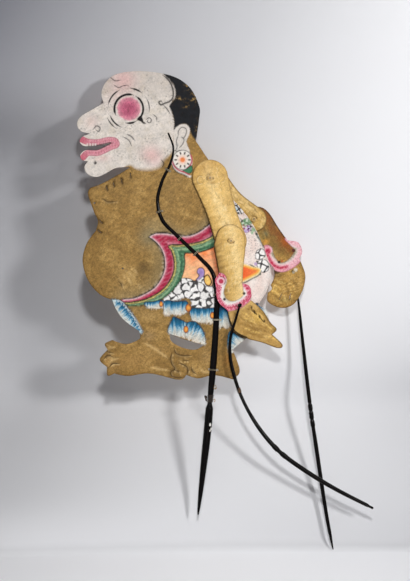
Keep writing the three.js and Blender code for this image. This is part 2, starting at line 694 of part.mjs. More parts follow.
// Thread that mends the front arm rod where its horn has cracked
const frontWide = (distance) => sizeAt(FRONT_ROD_WIDTHS, distance);
const mending = winding({
  line: front.line, start: MENDING_START, turns: MENDING_TURNS, pitch: MENDING_PITCH,
  thread: MENDING_THREAD, wide: frontWide, deep: frontWide, sides: TUBE_SIDES,
});
place(puppet, 'front_rod_mending', mending.geometry, brownThread, front.eyePlace);
console.log(`front rod mending: least gap to itself ${mending.gap.toFixed(2)} mm`);

export default puppet;
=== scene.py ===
# %% [markdown]
# # Dressing a shadow puppet
# The real puppet is cut from a sheet of stiff rawhide, chiselled, gilded and painted on both faces. Long rods
# of black horn carry the body and the hands. The solid model already has every piece in its place, so this
# lesson loads it as a fixed frame and then makes each piece again with the detail that a close look shows.

# %% Load the frame
import math
import bpy
import numpy as np
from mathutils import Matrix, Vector, kdtree
from mathutils.geometry import delaunay_2d_cdt


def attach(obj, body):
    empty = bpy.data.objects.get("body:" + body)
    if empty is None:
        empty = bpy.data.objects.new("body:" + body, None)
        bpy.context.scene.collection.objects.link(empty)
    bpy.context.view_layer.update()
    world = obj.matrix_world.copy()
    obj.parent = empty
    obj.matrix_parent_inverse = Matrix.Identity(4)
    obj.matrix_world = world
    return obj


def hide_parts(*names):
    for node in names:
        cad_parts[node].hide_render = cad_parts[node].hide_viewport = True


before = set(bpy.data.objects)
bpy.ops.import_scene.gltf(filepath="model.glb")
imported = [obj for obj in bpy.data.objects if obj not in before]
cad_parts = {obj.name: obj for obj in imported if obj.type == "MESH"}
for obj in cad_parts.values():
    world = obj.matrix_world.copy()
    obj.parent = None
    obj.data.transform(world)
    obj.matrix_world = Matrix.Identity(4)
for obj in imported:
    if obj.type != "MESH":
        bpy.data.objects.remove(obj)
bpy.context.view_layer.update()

MM = 0.001

# %% [markdown]
# ## The view
# The puppet was seen square on from the front, far enough away that nothing narrows. The camera stands 2.4 m
# off, and its lens is worked out from the height that the picture takes in, because a lens is only a ratio of
# the two.

# %% Camera
PICTURE_HEIGHT, DISTANCE, SENSOR = 0.8483, 2.4, 36
camera = bpy.data.objects.new("camera", bpy.data.cameras.new("camera"))
camera.data.lens = SENSOR * DISTANCE / PICTURE_HEIGHT
camera.location, camera.rotation_euler = (0.0102, -DISTANCE, 0.3278), (math.pi / 2, 0, 0)
bpy.context.scene.collection.objects.link(camera)
bpy.context.scene.camera = camera
print("lens, mm:", round(camera.data.lens, 1))

# %% [markdown]
# ## Colours and nodes
# Paint is chosen on a screen, where colours are written as codes, but light adds up in linear
# numbers. One small function turns a code into linear red, green and blue. Three more put nodes into a
# material in one line each, so that a finish reads from top to bottom like a recipe.

# %% Helpers for colours and nodes
def colour(code):
    """Linear red, green and blue for a colour code such as #E6DEDC."""
    parts = np.array([int(code[i:i + 2], 16) for i in (1, 3, 5)]) / 255
    return np.where(parts <= 0.04045, parts / 12.92, ((parts + 0.055) / 1.055) ** 2.4)


def add(tree, kind, inputs=None, **settings):
    """Adds a node. An input is either a value or the output of an earlier node."""
    node = tree.nodes.new(kind)
    for name, value in settings.items():
        setattr(node, name, value)
    for name, value in (inputs or {}).items():
        if isinstance(value, bpy.types.NodeSocket):
            tree.links.new(value, node.inputs[name])
        else:
            node.inputs[name].default_value = value
    return node


def maths(tree, operation, *values, clamp=False):
    """The output of a sum on up to three values."""
    return add(tree, "ShaderNodeMath", dict(enumerate(values)), operation=operation,
               use_clamp=clamp).outputs[0]


def mix(tree, share, first, second):
    """The colour some share of the way from the first to the second."""
    return add(tree, "ShaderNodeMix", {0: share, 6: first, 7: second}, data_type="RGBA").outputs[2]


def new_group(name, inputs, outputs):
    """A shader node group with named inputs and outputs, and the nodes that stand for them."""
    group = bpy.data.node_groups.new(name, "ShaderNodeTree")
    for label, kind, value in inputs:
        group.interface.new_socket(label, in_out="INPUT", socket_type="NodeSocket"
                                   + kind).default_value = value
    for label, kind in outputs:
        group.interface.new_socket(label, in_out="OUTPUT", socket_type="NodeSocket" + kind)
    return group, add(group, "NodeGroupInput").outputs, add(group, "NodeGroupOutput").inputs


def new_material(name):
    """A material with its Principled shader."""
    material = bpy.data.materials.new(name)
    material.use_nodes = True
    return material, material.node_tree, material.node_tree.nodes["Principled BSDF"]


def place_group(tree, group, inputs):
    """The outputs of a group put into a material."""
    return add(tree, "ShaderNodeGroup", inputs, node_tree=group).outputs


def finish_shader(tree, shader, finish, strength, depth):
    """Links the outputs of a finish to its shader. Its height makes bumps up to `depth` metres deep."""
    for name, socket in (("Colour", "Base Color"), ("Roughness", "Roughness"), ("Metallic", "Metallic")):
        if name in finish:
            tree.links.new(finish[name], shader.inputs[socket])
    bump = add(tree, "ShaderNodeBump", {"Strength": strength, "Distance": depth, "Height": finish["Height"]})
    tree.links.new(bump.outputs[0], shader.inputs["Normal"])


def seen_rays(tree):
    """1 for the rays that show a surface: from the camera, by a shine, or through glass. 0 for the others."""
    path = add(tree, "ShaderNodeLightPath").outputs
    shown = maths(tree, "MAXIMUM", path["Is Camera Ray"], path["Is Glossy Ray"])
    return maths(tree, "MAXIMUM", shown, path["Is Transmission Ray"])


# %% [markdown]
# ## Floor, backdrop and light
# A photographer bends one sheet of paper from table to wall, so that no line shows behind the object. The
# sheet here bellies out. It is close to the puppet at the head, at the points of the rods and on the side of
# the hands, and far from it behind the belly and the feet. The shadows part from the puppet by as much. The
# sheet is clear when seen from behind and holds back no light, so that the puppet's back can be seen.

# %% Backdrop
FLOOR, BEND, HALF_WIDTH = -0.0562, 0.022, 2.2
# Height, then how far the sheet is behind the hide at its left and at its right, in metres.
SHEET_ROWS = [
    (-0.04, -0.024, 0.03), (-0.014, -0.022, 0.03), (0.012, 0.006, 0.032), (0.04, 0.05, 0.038),
    (0.08, 0.1, 0.05), (0.12, 0.155, 0.06), (0.16, 0.188, 0.07), (0.204, 0.194, 0.05), (0.255, 0.19, 0.044),
    (0.387, 0.178, 0.036), (0.48, 0.166, 0.034), (0.54, 0.142, 0.034), (0.58, 0.088, 0.036),
    (0.613, 0.056, 0.034), (0.65, 0.04, 0.032), (0.7, 0.036, 0.03), (2.2, 0.036, 0.03),
]
LEFT_END, RIGHT_END, BOW = -0.27, 0.06, 0.72
FRONT_EDGE, SMOOTHINGS, BEND_STEPS = -2.6, 4, 12


def sheet_depth(x, z):
    """How far the sheet is behind the hide at a place. It goes over from left to right along a bow."""
    heights, left, right = np.transpose(SHEET_ROWS)
    across = np.clip((x - LEFT_END) / (RIGHT_END - LEFT_END), 0, 1) ** BOW
    return np.interp(z, heights, left) * (1 - across) + np.interp(z, heights, right) * across


columns = np.concatenate([[-HALF_WIDTH, -0.6], np.linspace(-0.4, 0.4, 41), [0.6, HALF_WIDTH]])
heights = np.concatenate([np.linspace(FLOOR + BEND, 0.9, 80), [1.2, 2.2]])
depths = np.array([sheet_depth(columns, z) for z in heights])
for _ in range(SMOOTHINGS):
    depths[1:-1] = (depths[:-2] + 2 * depths[1:-1] + depths[2:]) / 4
    depths[:, 1:-1] = (depths[:, :-2] + 2 * depths[:, 1:-1] + depths[:, 2:]) / 4
rows = [[(x, FRONT_EDGE, FLOOR) for x in columns]]
for i in range(BEND_STEPS):
    turn = math.pi / 2 * i / BEND_STEPS
    forward, up = BEND * (1 - math.sin(turn)), BEND * (1 - math.cos(turn))
    rows.append([(x, y - forward, FLOOR + up) for x, y in zip(columns, depths[0])])
rows += [[(x, y, z) for x, y in zip(columns, line)] for z, line in zip(heights, depths)]
wide = len(columns)
sheet_mesh = bpy.data.meshes.new("backdrop")
sheet_mesh.from_pydata(
    [place for row in rows for place in row], [],
    [(wide * j + i, wide * j + i + 1, wide * (j + 1) + i + 1, wide * (j + 1) + i)
     for j in range(len(rows) - 1) for i in range(wide - 1)],
)
sheet_mesh.shade_smooth()
backdrop = bpy.data.objects.new("backdrop", sheet_mesh)
bpy.context.scene.collection.objects.link(backdrop)

# %% Paper of the backdrop
# The paper's grey is painted shade, greyer to the upper left:
# shade = 0.66 + 0.13 z + 1.63 x z - 0.55 z z - 0.78 x x, in metres.
# The floor is made paler as painted light, and a soft patch at the lower right is darker as painted shade.
SHADE_PATCH, SHADE_PATCH_STRENGTH = (0.33, 0.035, 0.18), 0.13
paper, tree, shader = new_material("backdrop_paper_painted_shade")
place = add(tree, "ShaderNodeTexCoord").outputs["Object"]
spot = add(tree, "ShaderNodeSeparateXYZ", {0: place}).outputs
slope_x = maths(tree, "MULTIPLY_ADD", spot["Z"], 1.63, maths(tree, "MULTIPLY", spot["X"], -0.78))
slope_z = maths(tree, "MULTIPLY_ADD", spot["Z"], -0.55, 0.13)
shade = maths(tree, "MULTIPLY_ADD", spot["X"], slope_x, maths(tree, "MULTIPLY_ADD", spot["Z"], slope_z, 0.66))
floor = maths(tree, "MULTIPLY_ADD", spot["Z"], -110.0, -5.2, clamp=True)
shade = maths(tree, "MULTIPLY_ADD", floor, 0.12, shade, clamp=True)
# A soft patch of painted shade at the lower right of the paper.
aside = add(tree, "ShaderNodeVectorMath", {0: place, 1: SHADE_PATCH}, operation="DISTANCE").outputs["Value"]
patch = maths(tree, "POWER", maths(tree, "MULTIPLY_ADD", aside, -5.0, 1.0, clamp=True), 2.0)
shade = maths(tree, "SUBTRACT", shade, maths(tree, "MULTIPLY", patch, SHADE_PATCH_STRENGTH))
grey = mix(tree, shade, (0.2, 0.202, 0.228, 1), (0.9, 0.9, 0.915, 1))
tree.links.new(grey, shader.inputs["Base Color"])
tree.links.new(grey, shader.inputs["Emission Color"])
# The paper also glows as painted light, only for the rays that show it: more where its grey is pale, and more
# again on the floor.
lit = maths(tree, "MULTIPLY_ADD", shade, 0.75, -0.42, clamp=True)
floor_glow = maths(tree, "MULTIPLY_ADD", spot["X"], 0.26, 0.16)
floor_glow = maths(tree, "MULTIPLY", maths(tree, "MULTIPLY", floor, floor), floor_glow)
lit = maths(tree, "MULTIPLY", seen_rays(tree), maths(tree, "ADD", lit, floor_glow))
tree.links.new(lit, shader.inputs["Emission Strength"])
shader.inputs["Roughness"].default_value = 0.95
shader.inputs["Specular IOR Level"].default_value = 0.1
clear = add(tree, "ShaderNodeBsdfTransparent").outputs[0]
behind = add(tree, "ShaderNodeNewGeometry").outputs["Backfacing"]
passed = maths(tree, "MAXIMUM", behind, add(tree, "ShaderNodeLightPath").outputs["Is Shadow Ray"])
surface = add(tree, "ShaderNodeMixShader", {0: passed, 1: shader.outputs[0], 2: clear}).outputs[0]
tree.links.new(surface, tree.nodes["Material Output"].inputs["Surface"])
sheet_mesh.materials.append(paper)
print("floor at", FLOOR, "m, sheet", round(float(depths.min()), 3), "to", round(float(depths.max()), 3),
      "m behind")

# %% [markdown]
# Two lamps in front make the shadows. One is far to the right and throws a wide pale shadow to the left. The
# other is higher and almost straight in front, and darkens the sheet close under the puppet. Two more lamps,
# behind and at the left, light the puppet's back. The sky is bright to look at but lights hardly anything.


# %% Lamps and sky
def lamp(name, place, aim, size, watts):
    """A square soft lamp that looks at a point."""
    light = bpy.data.lights.new(name, "AREA")
    light.energy, light.size = watts, size
    made = bpy.data.objects.new(name, light)
    made.location = place
    made.rotation_euler = (Vector(aim) - Vector(place)).to_track_quat("-Z", "Y").to_euler()
    bpy.context.scene.collection.objects.link(made)


MIDDLE = (0, 0, 0.3)
lamp("side_lamp", (1.6, -2.4, 0.9), MIDDLE, 0.3, 41)
lamp("front_lamp", (0.12, -2.7, 1.34), MIDDLE, 0.2, 37)
lamp("back_lamp", (0.6, 2.2, 0.22), MIDDLE, 1.0, 26)
lamp("left_lamp", (-2.1, 0.9, 0.35), MIDDLE, 0.8, 12)
sky = bpy.data.worlds.new("sky")
sky.use_nodes = True
bpy.context.scene.world = sky
tree = sky.node_tree
strength = maths(tree, "MULTIPLY_ADD", seen_rays(tree), 0.85, 0.02)
tree.links.new(strength, tree.nodes["Background"].inputs["Strength"])
tree.nodes["Background"].inputs["Color"].default_value = (0.97, 0.985, 1, 1)
bpy.context.scene.view_settings.view_transform = "Standard"

# %% [markdown]
# ## Lines
# Brush strokes, rods and threads all start as a few points with a smooth line through them. The outlines of
# the hides are smoothed in another way, because they have to keep their sharp corners.


# %% Smooth lines
def cubic(t, start, leave, end, arrive):
    """The curve from start to end that leaves and arrives with two given speeds, at each t from 0 to 1."""
    return ((2 * t**3 - 3 * t**2 + 1) * start + (t**3 - 2 * t**2 + t) * leave
            + (3 * t**2 - 2 * t**3) * end + (t**3 - t**2) * arrive)


def curve_through(points, step, closed=False):
    """A smooth line through points, with a place about every `step`. It is centripetal, so it never loops."""
    points = np.asarray(points, float)
    before, after = 2 * points[:1] - points[1:2], 2 * points[-1:] - points[-2:-1]
    if closed:
        before, after = points[-1:], points[:2]
    held = np.vstack([before, points, after])
    places = []
    for a, b, c, d in zip(held, held[1:], held[2:], held[3:]):
        ab, bc, cd = (max(np.linalg.norm(gap), 1e-9) ** 0.5 for gap in (b - a, c - b, d - c))
        leave = ((b - a) / ab - (c - a) / (ab + bc) + (c - b) / bc) * bc
        arrive = ((c - b) / bc - (d - b) / (bc + cd) + (d - c) / cd) * bc
        t = np.linspace(0, 1, max(3, math.ceil(4 * bc * bc / step)), endpoint=False)[:, None]
        places.append(cubic(t, b, leave, c, arrive))
    places = np.vstack(places + ([] if closed else [points[-1:]]))
    return evenly(places, step, closed)


def evenly(places, step, closed=False):
    """The same line with places an even distance apart."""
    if closed:
        places = np.vstack([places, places[:1]])
    run = np.concatenate([[0], np.cumsum(np.linalg.norm(np.diff(places, axis=0), axis=1))])
    count = max(2, math.ceil(run[-1] / step) + 1)
    marks = np.linspace(0, run[-1], count)
    even = np.stack([np.interp(marks, run, places[:, i]) for i in range(places.shape[1])], axis=1)
    return even[:-1] if closed else even


def soften(ring, corner, step):
    """Turns the straight facets of a closed ring into curves. Corners sharper than `corner` degrees stay."""
    after = np.roll(ring, -1, axis=0) - ring
    length = np.linalg.norm(after, axis=1, keepdims=True)
    ahead = after / length
    back = np.roll(ahead, 1, axis=0)
    sharp = np.degrees(np.arccos(np.clip((ahead * back).sum(axis=1), -1, 1))) > corner
    share = np.roll(length, 1, axis=0) / (length + np.roll(length, 1, axis=0))
    smooth = back * (1 - share) + ahead * share
    smooth /= np.maximum(np.linalg.norm(smooth, axis=1, keepdims=True), 1e-9)
    places = []
    for i in range(len(ring)):
        j = (i + 1) % len(ring)
        leave = (ahead[i] if sharp[i] else smooth[i]) * length[i]
        arrive = (ahead[i] if sharp[j] else smooth[j]) * length[i]
        t = np.linspace(0, 1, max(1, round(length[i, 0] / step)), endpoint=False)[:, None]
        places.append(cubic(t, ring[i], leave, ring[j], arrive))
    return np.vstack(places)


# %% [markdown]
# ## Cutting the hides
# A cutter lays the drawing on the rawhide and follows it with a chisel. Here the outline, with every slit and
# hole, is read from the solid, its facets are turned back into curves, and the area between is filled with
# small triangles. They are finest where the brushwork is, because the paint is kept on the corners of the
# triangles.


# %% Reading an outline from the solid
def rims(node):
    """The closed rings, in mm, that bound the front face of a flat node: its outline and each hole."""
    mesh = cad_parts[node].data
    numbers, places = {}, []
    for vertex in mesh.vertices:
        key = tuple(round(v / MM, 3) for v in vertex.co)
        if key not in numbers:
            numbers[key] = len(numbers)
            places.append((key[0], key[2]))
    number = [numbers[tuple(round(v / MM, 3) for v in vertex.co)] for vertex in mesh.vertices]
    edges = set()
    for face in mesh.polygons:
        if face.normal.y < -0.5:
            corners = [number[v] for v in face.vertices]
            edges.update(zip(corners, corners[1:] + corners[:1]))
    follow = {a: b for a, b in edges if (b, a) not in edges}
    rings = []
    while follow:
        start, at = follow.popitem()
        ring = [start]
        while at != start:
            ring.append(at)
            at = follow.pop(at)
        rings.append(np.array([places[i] for i in ring]))
    return sorted(rings, key=len, reverse=True)


# %% Measuring on the flat
def inside(ring, places):
    """True for each place inside a closed ring."""
    x, z = places.T
    odd = np.zeros(len(places), bool)
    for (ax, az), (bx, bz) in zip(ring, np.roll(ring, -1, axis=0)):
        if az != bz:
            odd ^= ((az > z) != (bz > z)) & (x < (bx - ax) * (z - az) / (bz - az) + ax)
    return odd


def measure(line, places):
    """Each place's distance from a line, and how far along the line its nearest point is."""
    best, along, run = np.full(len(places), 1e9), np.zeros(len(places)), 0.0
    for a, b in zip(line[:-1], line[1:]):
        step = b - a
        length = math.hypot(*step)
        t = np.clip((places - a) @ step / max(length**2, 1e-12), 0, 1)
        gap = np.hypot(*(places - a - t[:, None] * step).T)
        closer = gap < best
        best[closer], along[closer] = gap[closer], run + t[closer] * length
        run += length
    return best, along


def near_box(line, places, reach):
    """True for the places within reach of a line's box, so that the rest need no measuring."""
    low, high = line.min(axis=0) - reach, line.max(axis=0) + reach
    return ((places > low) & (places < high)).all(axis=1)


# %% Filling an outline with triangles
JITTER, SEED = 0.06, 11


def grid(low, high, step):
    """Points on a honeycomb grid, each a little off its place so that no row of triangles shows."""
    x, z = np.meshgrid(np.arange(low[0], high[0], step), np.arange(low[1], high[1], step * 0.866))
    x = x + step / 2 * (np.arange(len(x)) % 2)[:, None]
    points = np.stack([x.ravel(), z.ravel()], axis=1)
    return points + np.random.default_rng(SEED).uniform(-1, 1, points.shape) * step * JITTER


def tree_of(points):
    """A search tree of flat places."""
    found = kdtree.KDTree(len(points))
    for i, (x, z) in enumerate(points):
        found.insert((x, z, 0), i)
    found.balance()
    return found


def gap_to(found, points):
    """How far each point is from the nearest place in a search tree."""
    return np.array([found.find((x, z, 0))[2] for x, z in points]) if len(points) else np.zeros(0)


def brush_rows(lines, step=1.0, apart=0.85):
    """Points along each brush line and on both sides of it, so that even a thin line stays sharp."""
    rows = []
    for line in lines:
        line = evenly(line, step)
        ahead = np.gradient(line, axis=0)
        side = np.stack([-ahead[:, 1], ahead[:, 0]], axis=1) / np.hypot(*ahead.T)[:, None]
        rows += [line, line + side * apart, line - side * apart]
    if not rows:
        return np.zeros((0, 2))
    rows = np.vstack(rows)
    _, first = np.unique(np.round(rows / (apart * 0.6)), axis=0, return_index=True)
    return rows[np.sort(first)]


def fill_points(rings, levels, lines):
    """Points inside the rings: brush rows first, then a grid for each (step, patches) from fine to coarse."""
    rim = np.vstack(rings)
    low, high = rim.min(axis=0), rim.max(axis=0)
    rim_tree = tree_of(rim)
    rows = brush_rows(lines)
    rows = rows[np.logical_xor.reduce([inside(ring, rows) for ring in rings])] if len(rows) else rows
    rows = rows[gap_to(rim_tree, rows) > 0.5]
    row_tree = tree_of(rows if len(rows) else np.array([[1e6, 1e6]]))
    taken, chosen = [], [rows]
    for step, patches in levels:
        points = grid(low, high, step)
        wanted = np.full(len(points), patches is None)
        for patch in patches or []:
            wanted |= inside(patch, points)
        for patch in taken:
            wanted &= ~inside(patch, points)
        points = points[wanted]
        points = points[np.logical_xor.reduce([inside(ring, points) for ring in rings])]
        points = points[gap_to(rim_tree, points) > 0.45 * step]
        chosen.append(points[gap_to(row_tree, points) > 0.55 * min(step, 1.2)])
        taken += patches or []
    return np.vstack(chosen)


def triangles(rings, points):
    """Triangles over the area inside the rings: places in mm, and three numbers for each."""
    places, edges = [], []
    for ring in rings:
        count, first = len(ring), sum(map(len, places))
        edges += [(first + i, first + (i + 1) % count) for i in range(count)]
        places.append(ring)
    flat = [Vector(p) for p in np.vstack(places + [points])]
    found = delaunay_2d_cdt(flat, edges, [], 0, 1e-5)
    spots = np.array([v[:] for v in found[0]])
    faces = np.array(found[2])
    middle = spots[faces].mean(axis=1)
    return spots, faces[np.logical_xor.reduce([inside(ring, middle) for ring in rings])]


# %% Giving a hide its thickness
CHAMFER = 0.28


def hide_mesh(name, spots, faces, near, far):
    """A sheet between two values of y, each a number or one value for each spot, with its edges eased."""
    used, faces = np.unique(faces, return_inverse=True)
    near, far = (np.broadcast_to(y, len(spots))[used] for y in (near, far))
    faces, spots = faces.reshape(-1, 3), spots[used]
    a, b, c = spots[faces].transpose(1, 0, 2)
    clockwise = np.cross(b - a, c - a) < 0
    faces[clockwise] = faces[clockwise][:, ::-1]
    sides = {(p, q) for face in faces.tolist() for p, q in zip(face, face[1:] + face[:1])}
    rim = np.array([(p, q) for p, q in sides if (q, p) not in sides])
    outward = np.zeros_like(spots)
    step = spots[rim[:, 1]] - spots[rim[:, 0]]
    normal = np.stack([step[:, 1], -step[:, 0]], axis=1) / np.hypot(*step.T)[:, None]
    for column in (0, 1):
        np.add.at(outward, rim[:, column], normal)
    long = np.maximum(np.hypot(*outward.T), 1e-9)[:, None]
    inner = spots - outward / long * CHAMFER
    edge = np.unique(rim)
    number = np.full(len(spots), -1)
    number[edge] = np.arange(len(edge))
    count, more = len(spots), len(edge)

    def level(flat, y):
        return np.stack([flat[:, 0], y, flat[:, 1]], axis=1)

    verts = np.vstack([
        level(inner, near), level(inner, far),
        level(spots[edge], near[edge] + CHAMFER), level(spots[edge], far[edge] - CHAMFER),
    ])
    p, q = rim.T
    front_p, front_q = 2 * count + number[p], 2 * count + number[q]
    back_p, back_q = front_p + more, front_q + more
    quads = np.vstack([
        np.stack([q, p, front_p, front_q], axis=1),
        np.stack([front_q, front_p, back_p, back_q], axis=1),
        np.stack([back_q, back_p, count + p, count + q], axis=1),
    ])
    mesh = bpy.data.meshes.new(name)
    mesh.from_pydata(verts * MM, [], faces.tolist() + (faces[:, ::-1] + count).tolist() + quads.tolist())
    mesh.shade_smooth()
    return mesh, np.concatenate([used, used, used[edge], used[edge]]), rim


# %% [markdown]
# ## Mixing the painter's tools
# A sheet is held as its places with a colour at each. The painter's moves are then few: fill a shape, draw a
# line, dot, and lay one colour over part of another. Each works on a share from 0 to 1, so edges stay soft.


# %% Painter's moves
SOFT = 0.8


def pigment(paint):
    """Linear red, green and blue of a paint, which may be given as a colour code."""
    return colour(paint) if isinstance(paint, str) else paint


def lay(sheet, share, paint, gilt=0.0):
    """Lays paint over a share of each place. Gilt says how much of it is gold leaf."""
    share = np.clip(share, 0, 1)
    sheet["colour"] += (pigment(paint) - sheet["colour"]) * share[:, None]
    sheet["gilt"] += (gilt - sheet["gilt"]) * share


def depth_in(sheet, ring):
    """How far inside a closed ring each place is, in mm, and less than 0 outside."""
    depth = np.full(len(sheet["places"]), -99.0)
    close = near_box(ring, sheet["places"], 4)
    places = sheet["places"][close]
    gap, _ = measure(np.vstack([ring, ring[:1]]), places)
    depth[close] = np.where(inside(ring, places), gap, -gap)
    return depth


def fill(sheet, ring, paint):
    """Fills a closed ring, and gives back how far inside it each place is."""
    depth = depth_in(sheet, ring)
    lay(sheet, depth / SOFT + 0.5, paint)
    return depth


def stroke(sheet, line, width, paint, taper=0.0, strong=1.0, soft=SOFT, closed=False):
    """A brush line, thinner towards its ends where it tapers."""
    if closed:
        line = np.vstack([line, line[:1]])
    close = near_box(line, sheet["places"], width + 2)
    gap, along = measure(line, sheet["places"][close])
    length = np.linalg.norm(np.diff(line, axis=0), axis=1).sum()
    thin = np.clip(np.minimum(along, length - along) / taper, 0.15, 1) if taper else 1
    share = np.zeros(len(sheet["places"]))
    share[close] = np.clip((width * thin / 2 - gap) / soft + 0.5, 0, 1)
    lay(sheet, share * strong, paint)


def dot(sheet, place, radius, paint, strong=1.0, soft=SOFT):
    """A round dot."""
    gap = np.hypot(*(sheet["places"] - place).T)
    lay(sheet, np.clip((radius - gap) / soft + 0.5, 0, 1) * strong, paint)


def glow(sheet, place, size, paint, strong, gilt=0.0):
    """A soft patch of colour, `size` mm to where it has faded, or (across, up) where it is oval."""
    gap = ((sheet["places"] - place) / size) ** 2
    lay(sheet, np.exp(-2.5 * gap.sum(axis=1)) * strong, paint, gilt)


def glows(sheet, gilt, *patches):
    """Several soft patches: the place, size, colour and strength of each."""
    for place, size, paint, strong in patches:
        glow(sheet, place, size, paint, strong, gilt)


def mottle(places, size, seed, waves=22):
    """Soft blotches about `size` mm apart, from about -1 to 1."""
    random = np.random.default_rng(seed)
    angle = random.uniform(0, 2 * math.pi, waves)
    long = size * random.uniform(0.6, 1.7, waves)
    ahead = np.stack([np.cos(angle), np.sin(angle)]) / long * 2 * math.pi
    return np.sin(places @ ahead + random.uniform(0, 2 * math.pi, waves)).sum(axis=1) / math.sqrt(waves)


def ramp(share, *stops):
    """A colour that runs through (share, colour) stops."""
    marks, shades = [mark for mark, _ in stops], np.array([pigment(paint) for _, paint in stops])
    return np.stack([np.interp(share, marks, shades[:, i]) for i in range(3)], axis=1)


def smooth(points, closed=False, step=1.0):
    """A smooth brush line or ring through points on the flat, in mm."""
    return curve_through(points, step, closed)


# %% Pigments
INK, SOOT = colour("#141113"), colour("#0E1014")
CHALK, BLUSH = colour("#D8CFC6"), colour("#DC9F9F")
GOLD, DULL_GOLD = colour("#8A6B39"), colour("#694D26")
CRIMSON = colour("#B02C4A")
DEEP_GREEN, GREEN, LEAF = colour("#3A6246"), colour("#567C5C"), colour("#8DAA82")
STRAW, ORANGE, PEACH, VERMILION = colour("#C4B66C"), colour("#EC864B"), colour("#F4C08B"), colour("#D65225")
VIOLET, NAVY, BLUE, SKY = colour("#A990C6"), colour("#123F60"), colour("#2478A2"), colour("#8FBCD0")
UMBER = colour("#50331B")

# %% [markdown]
# ## Gilding the skin
# The body is gilded with bronze-coloured leaf over dark glue. Handling has dulled and mottled it: lighter
# rubbed streaks, darker patches in the hollows. Blotches of three sizes give that. The material adds a grain.


# %% Ground coats
BRUSHED = np.array([(0.94, -0.34), (0.34, 0.94)]) @ np.diag((0.3, 1.0))


def ground(sheet, tone, light, dark, seed, sizes=(46, 15, 5.5)):
    """Covers a sheet with mottled leaf, and darkens it towards its cut edge."""
    sheet["colour"][:] = pigment(tone)
    sheet["gilt"][:] = 1.0
    wide, middle, small = (mottle(sheet["places"], size, seed + i) for i, size in enumerate(sizes))
    brushed = mottle(sheet["places"] @ BRUSHED, sizes[2], seed + 4)
    lay(sheet, 0.36 * np.clip(0.4 * wide + 0.3 * middle + 0.22 * small + 0.28 * brushed, 0, 2), light, 1.0)
    lay(sheet, 0.38 * np.clip(-0.35 * wide - 0.3 * middle - 0.3 * small - 0.35 * brushed, 0, 2), dark, 0.8)
    lay(sheet, 0.4 * np.exp(-sheet["edge"] / 2.2), dark, 0.5)


# %% [markdown]
# ## The head
# The face is chalk white with a blush at brow and jaw, and fades into the gold of the neck. The features are
# those of a plain attendant: a big round eye in broken rings, a ball of a nose and a small open mouth. The
# hair is soot black with a long hairline curl, and the ear is a white scroll that carries a flower.

# %% Outlines on the head
FACE = smooth([
    (-51, 652), (-41, 636.5), (-33.5, 623.5), (-33, 610.5), (-38, 603), (-39.5, 595.5), (-38, 587),
    (-35, 575), (-35, 562), (-36.5, 547.5), (-36.5, 533), (-44, 524), (-51, 518.5), (-55.5, 509.5),
    (-64, 506), (-77.5, 504.5), (-90.5, 506), (-99.5, 511), (-120, 498), (-152, 480), (-187, 483.5),
    (-209, 576.5), (-172.5, 661.5), (-90, 671),
], True)
HAIR = smooth([
    (-51, 646), (-41, 635), (-35.5, 627), (-33, 618), (-34, 609), (-38, 603), (-42, 597), (-38, 587),
    (-35, 575), (-35, 560.5), (-32, 565), (-26.5, 569.5), (-19, 571), (-13, 566.5), (-10, 556.5), (-3, 547),
    (14, 540), (22, 600), (0, 652), (-34, 662),
], True)
HAIRLINE = smooth([(-52, 642.5), (-44, 636), (-38.5, 627), (-36.2, 617.5), (-37, 609), (-41, 604),
                   (-48, 601.3), (-54.5, 599), (-57, 602.5), (-53.5, 604.5), (-52, 600.5)])
TEMPLE = smooth([(-50, 598), (-46, 593.5), (-41, 586.5)])
EAR = smooth([
    (-35, 560.5), (-32, 566), (-25, 570), (-17.5, 570), (-12.5, 565), (-12.5, 556.5), (-16, 549),
    (-17, 544.5), (-14, 536), (-11, 527), (-8, 518.5), (-9, 509.5), (-11.5, 501), (-17.5, 497),
    (-26.5, 500), (-33.5, 506), (-37, 514), (-38, 524), (-36.5, 533), (-35.5, 547),
], True)
EAR_LINES = [smooth(line) for line in (
    [(-29, 553.5), (-28.5, 560.5), (-23.5, 566), (-17.5, 563.5), (-17.5, 556.5), (-21, 550.5), (-25, 552)],
    [(-27.5, 536), (-23.5, 540), (-20.5, 547.5), (-23.5, 552)],
    [(-33, 531.5), (-30.5, 537.5), (-31.5, 546), (-29, 553.5)],
    [(-36.5, 533), (-30, 531), (-24, 533)],
)]
EARRING = (-22.5, 518.5)
EAR_LEAF = smooth([(-24, 501), (-17, 505), (-9.5, 510), (-8.5, 501.5), (-14.5, 498), (-21, 498)], True)
EAR_DROP = smooth([(-38.5, 516), (-35, 507.5), (-29, 502), (-20, 498.5), (-11.5, 494)])


def arc(centre, radius, start, end):
    """Part of a circle, between angles in degrees."""
    turn = np.radians(np.linspace(start, end, max(4, int(abs(end - start) / 6))))
    return centre + radius * np.stack([np.cos(turn), np.sin(turn)], axis=1)


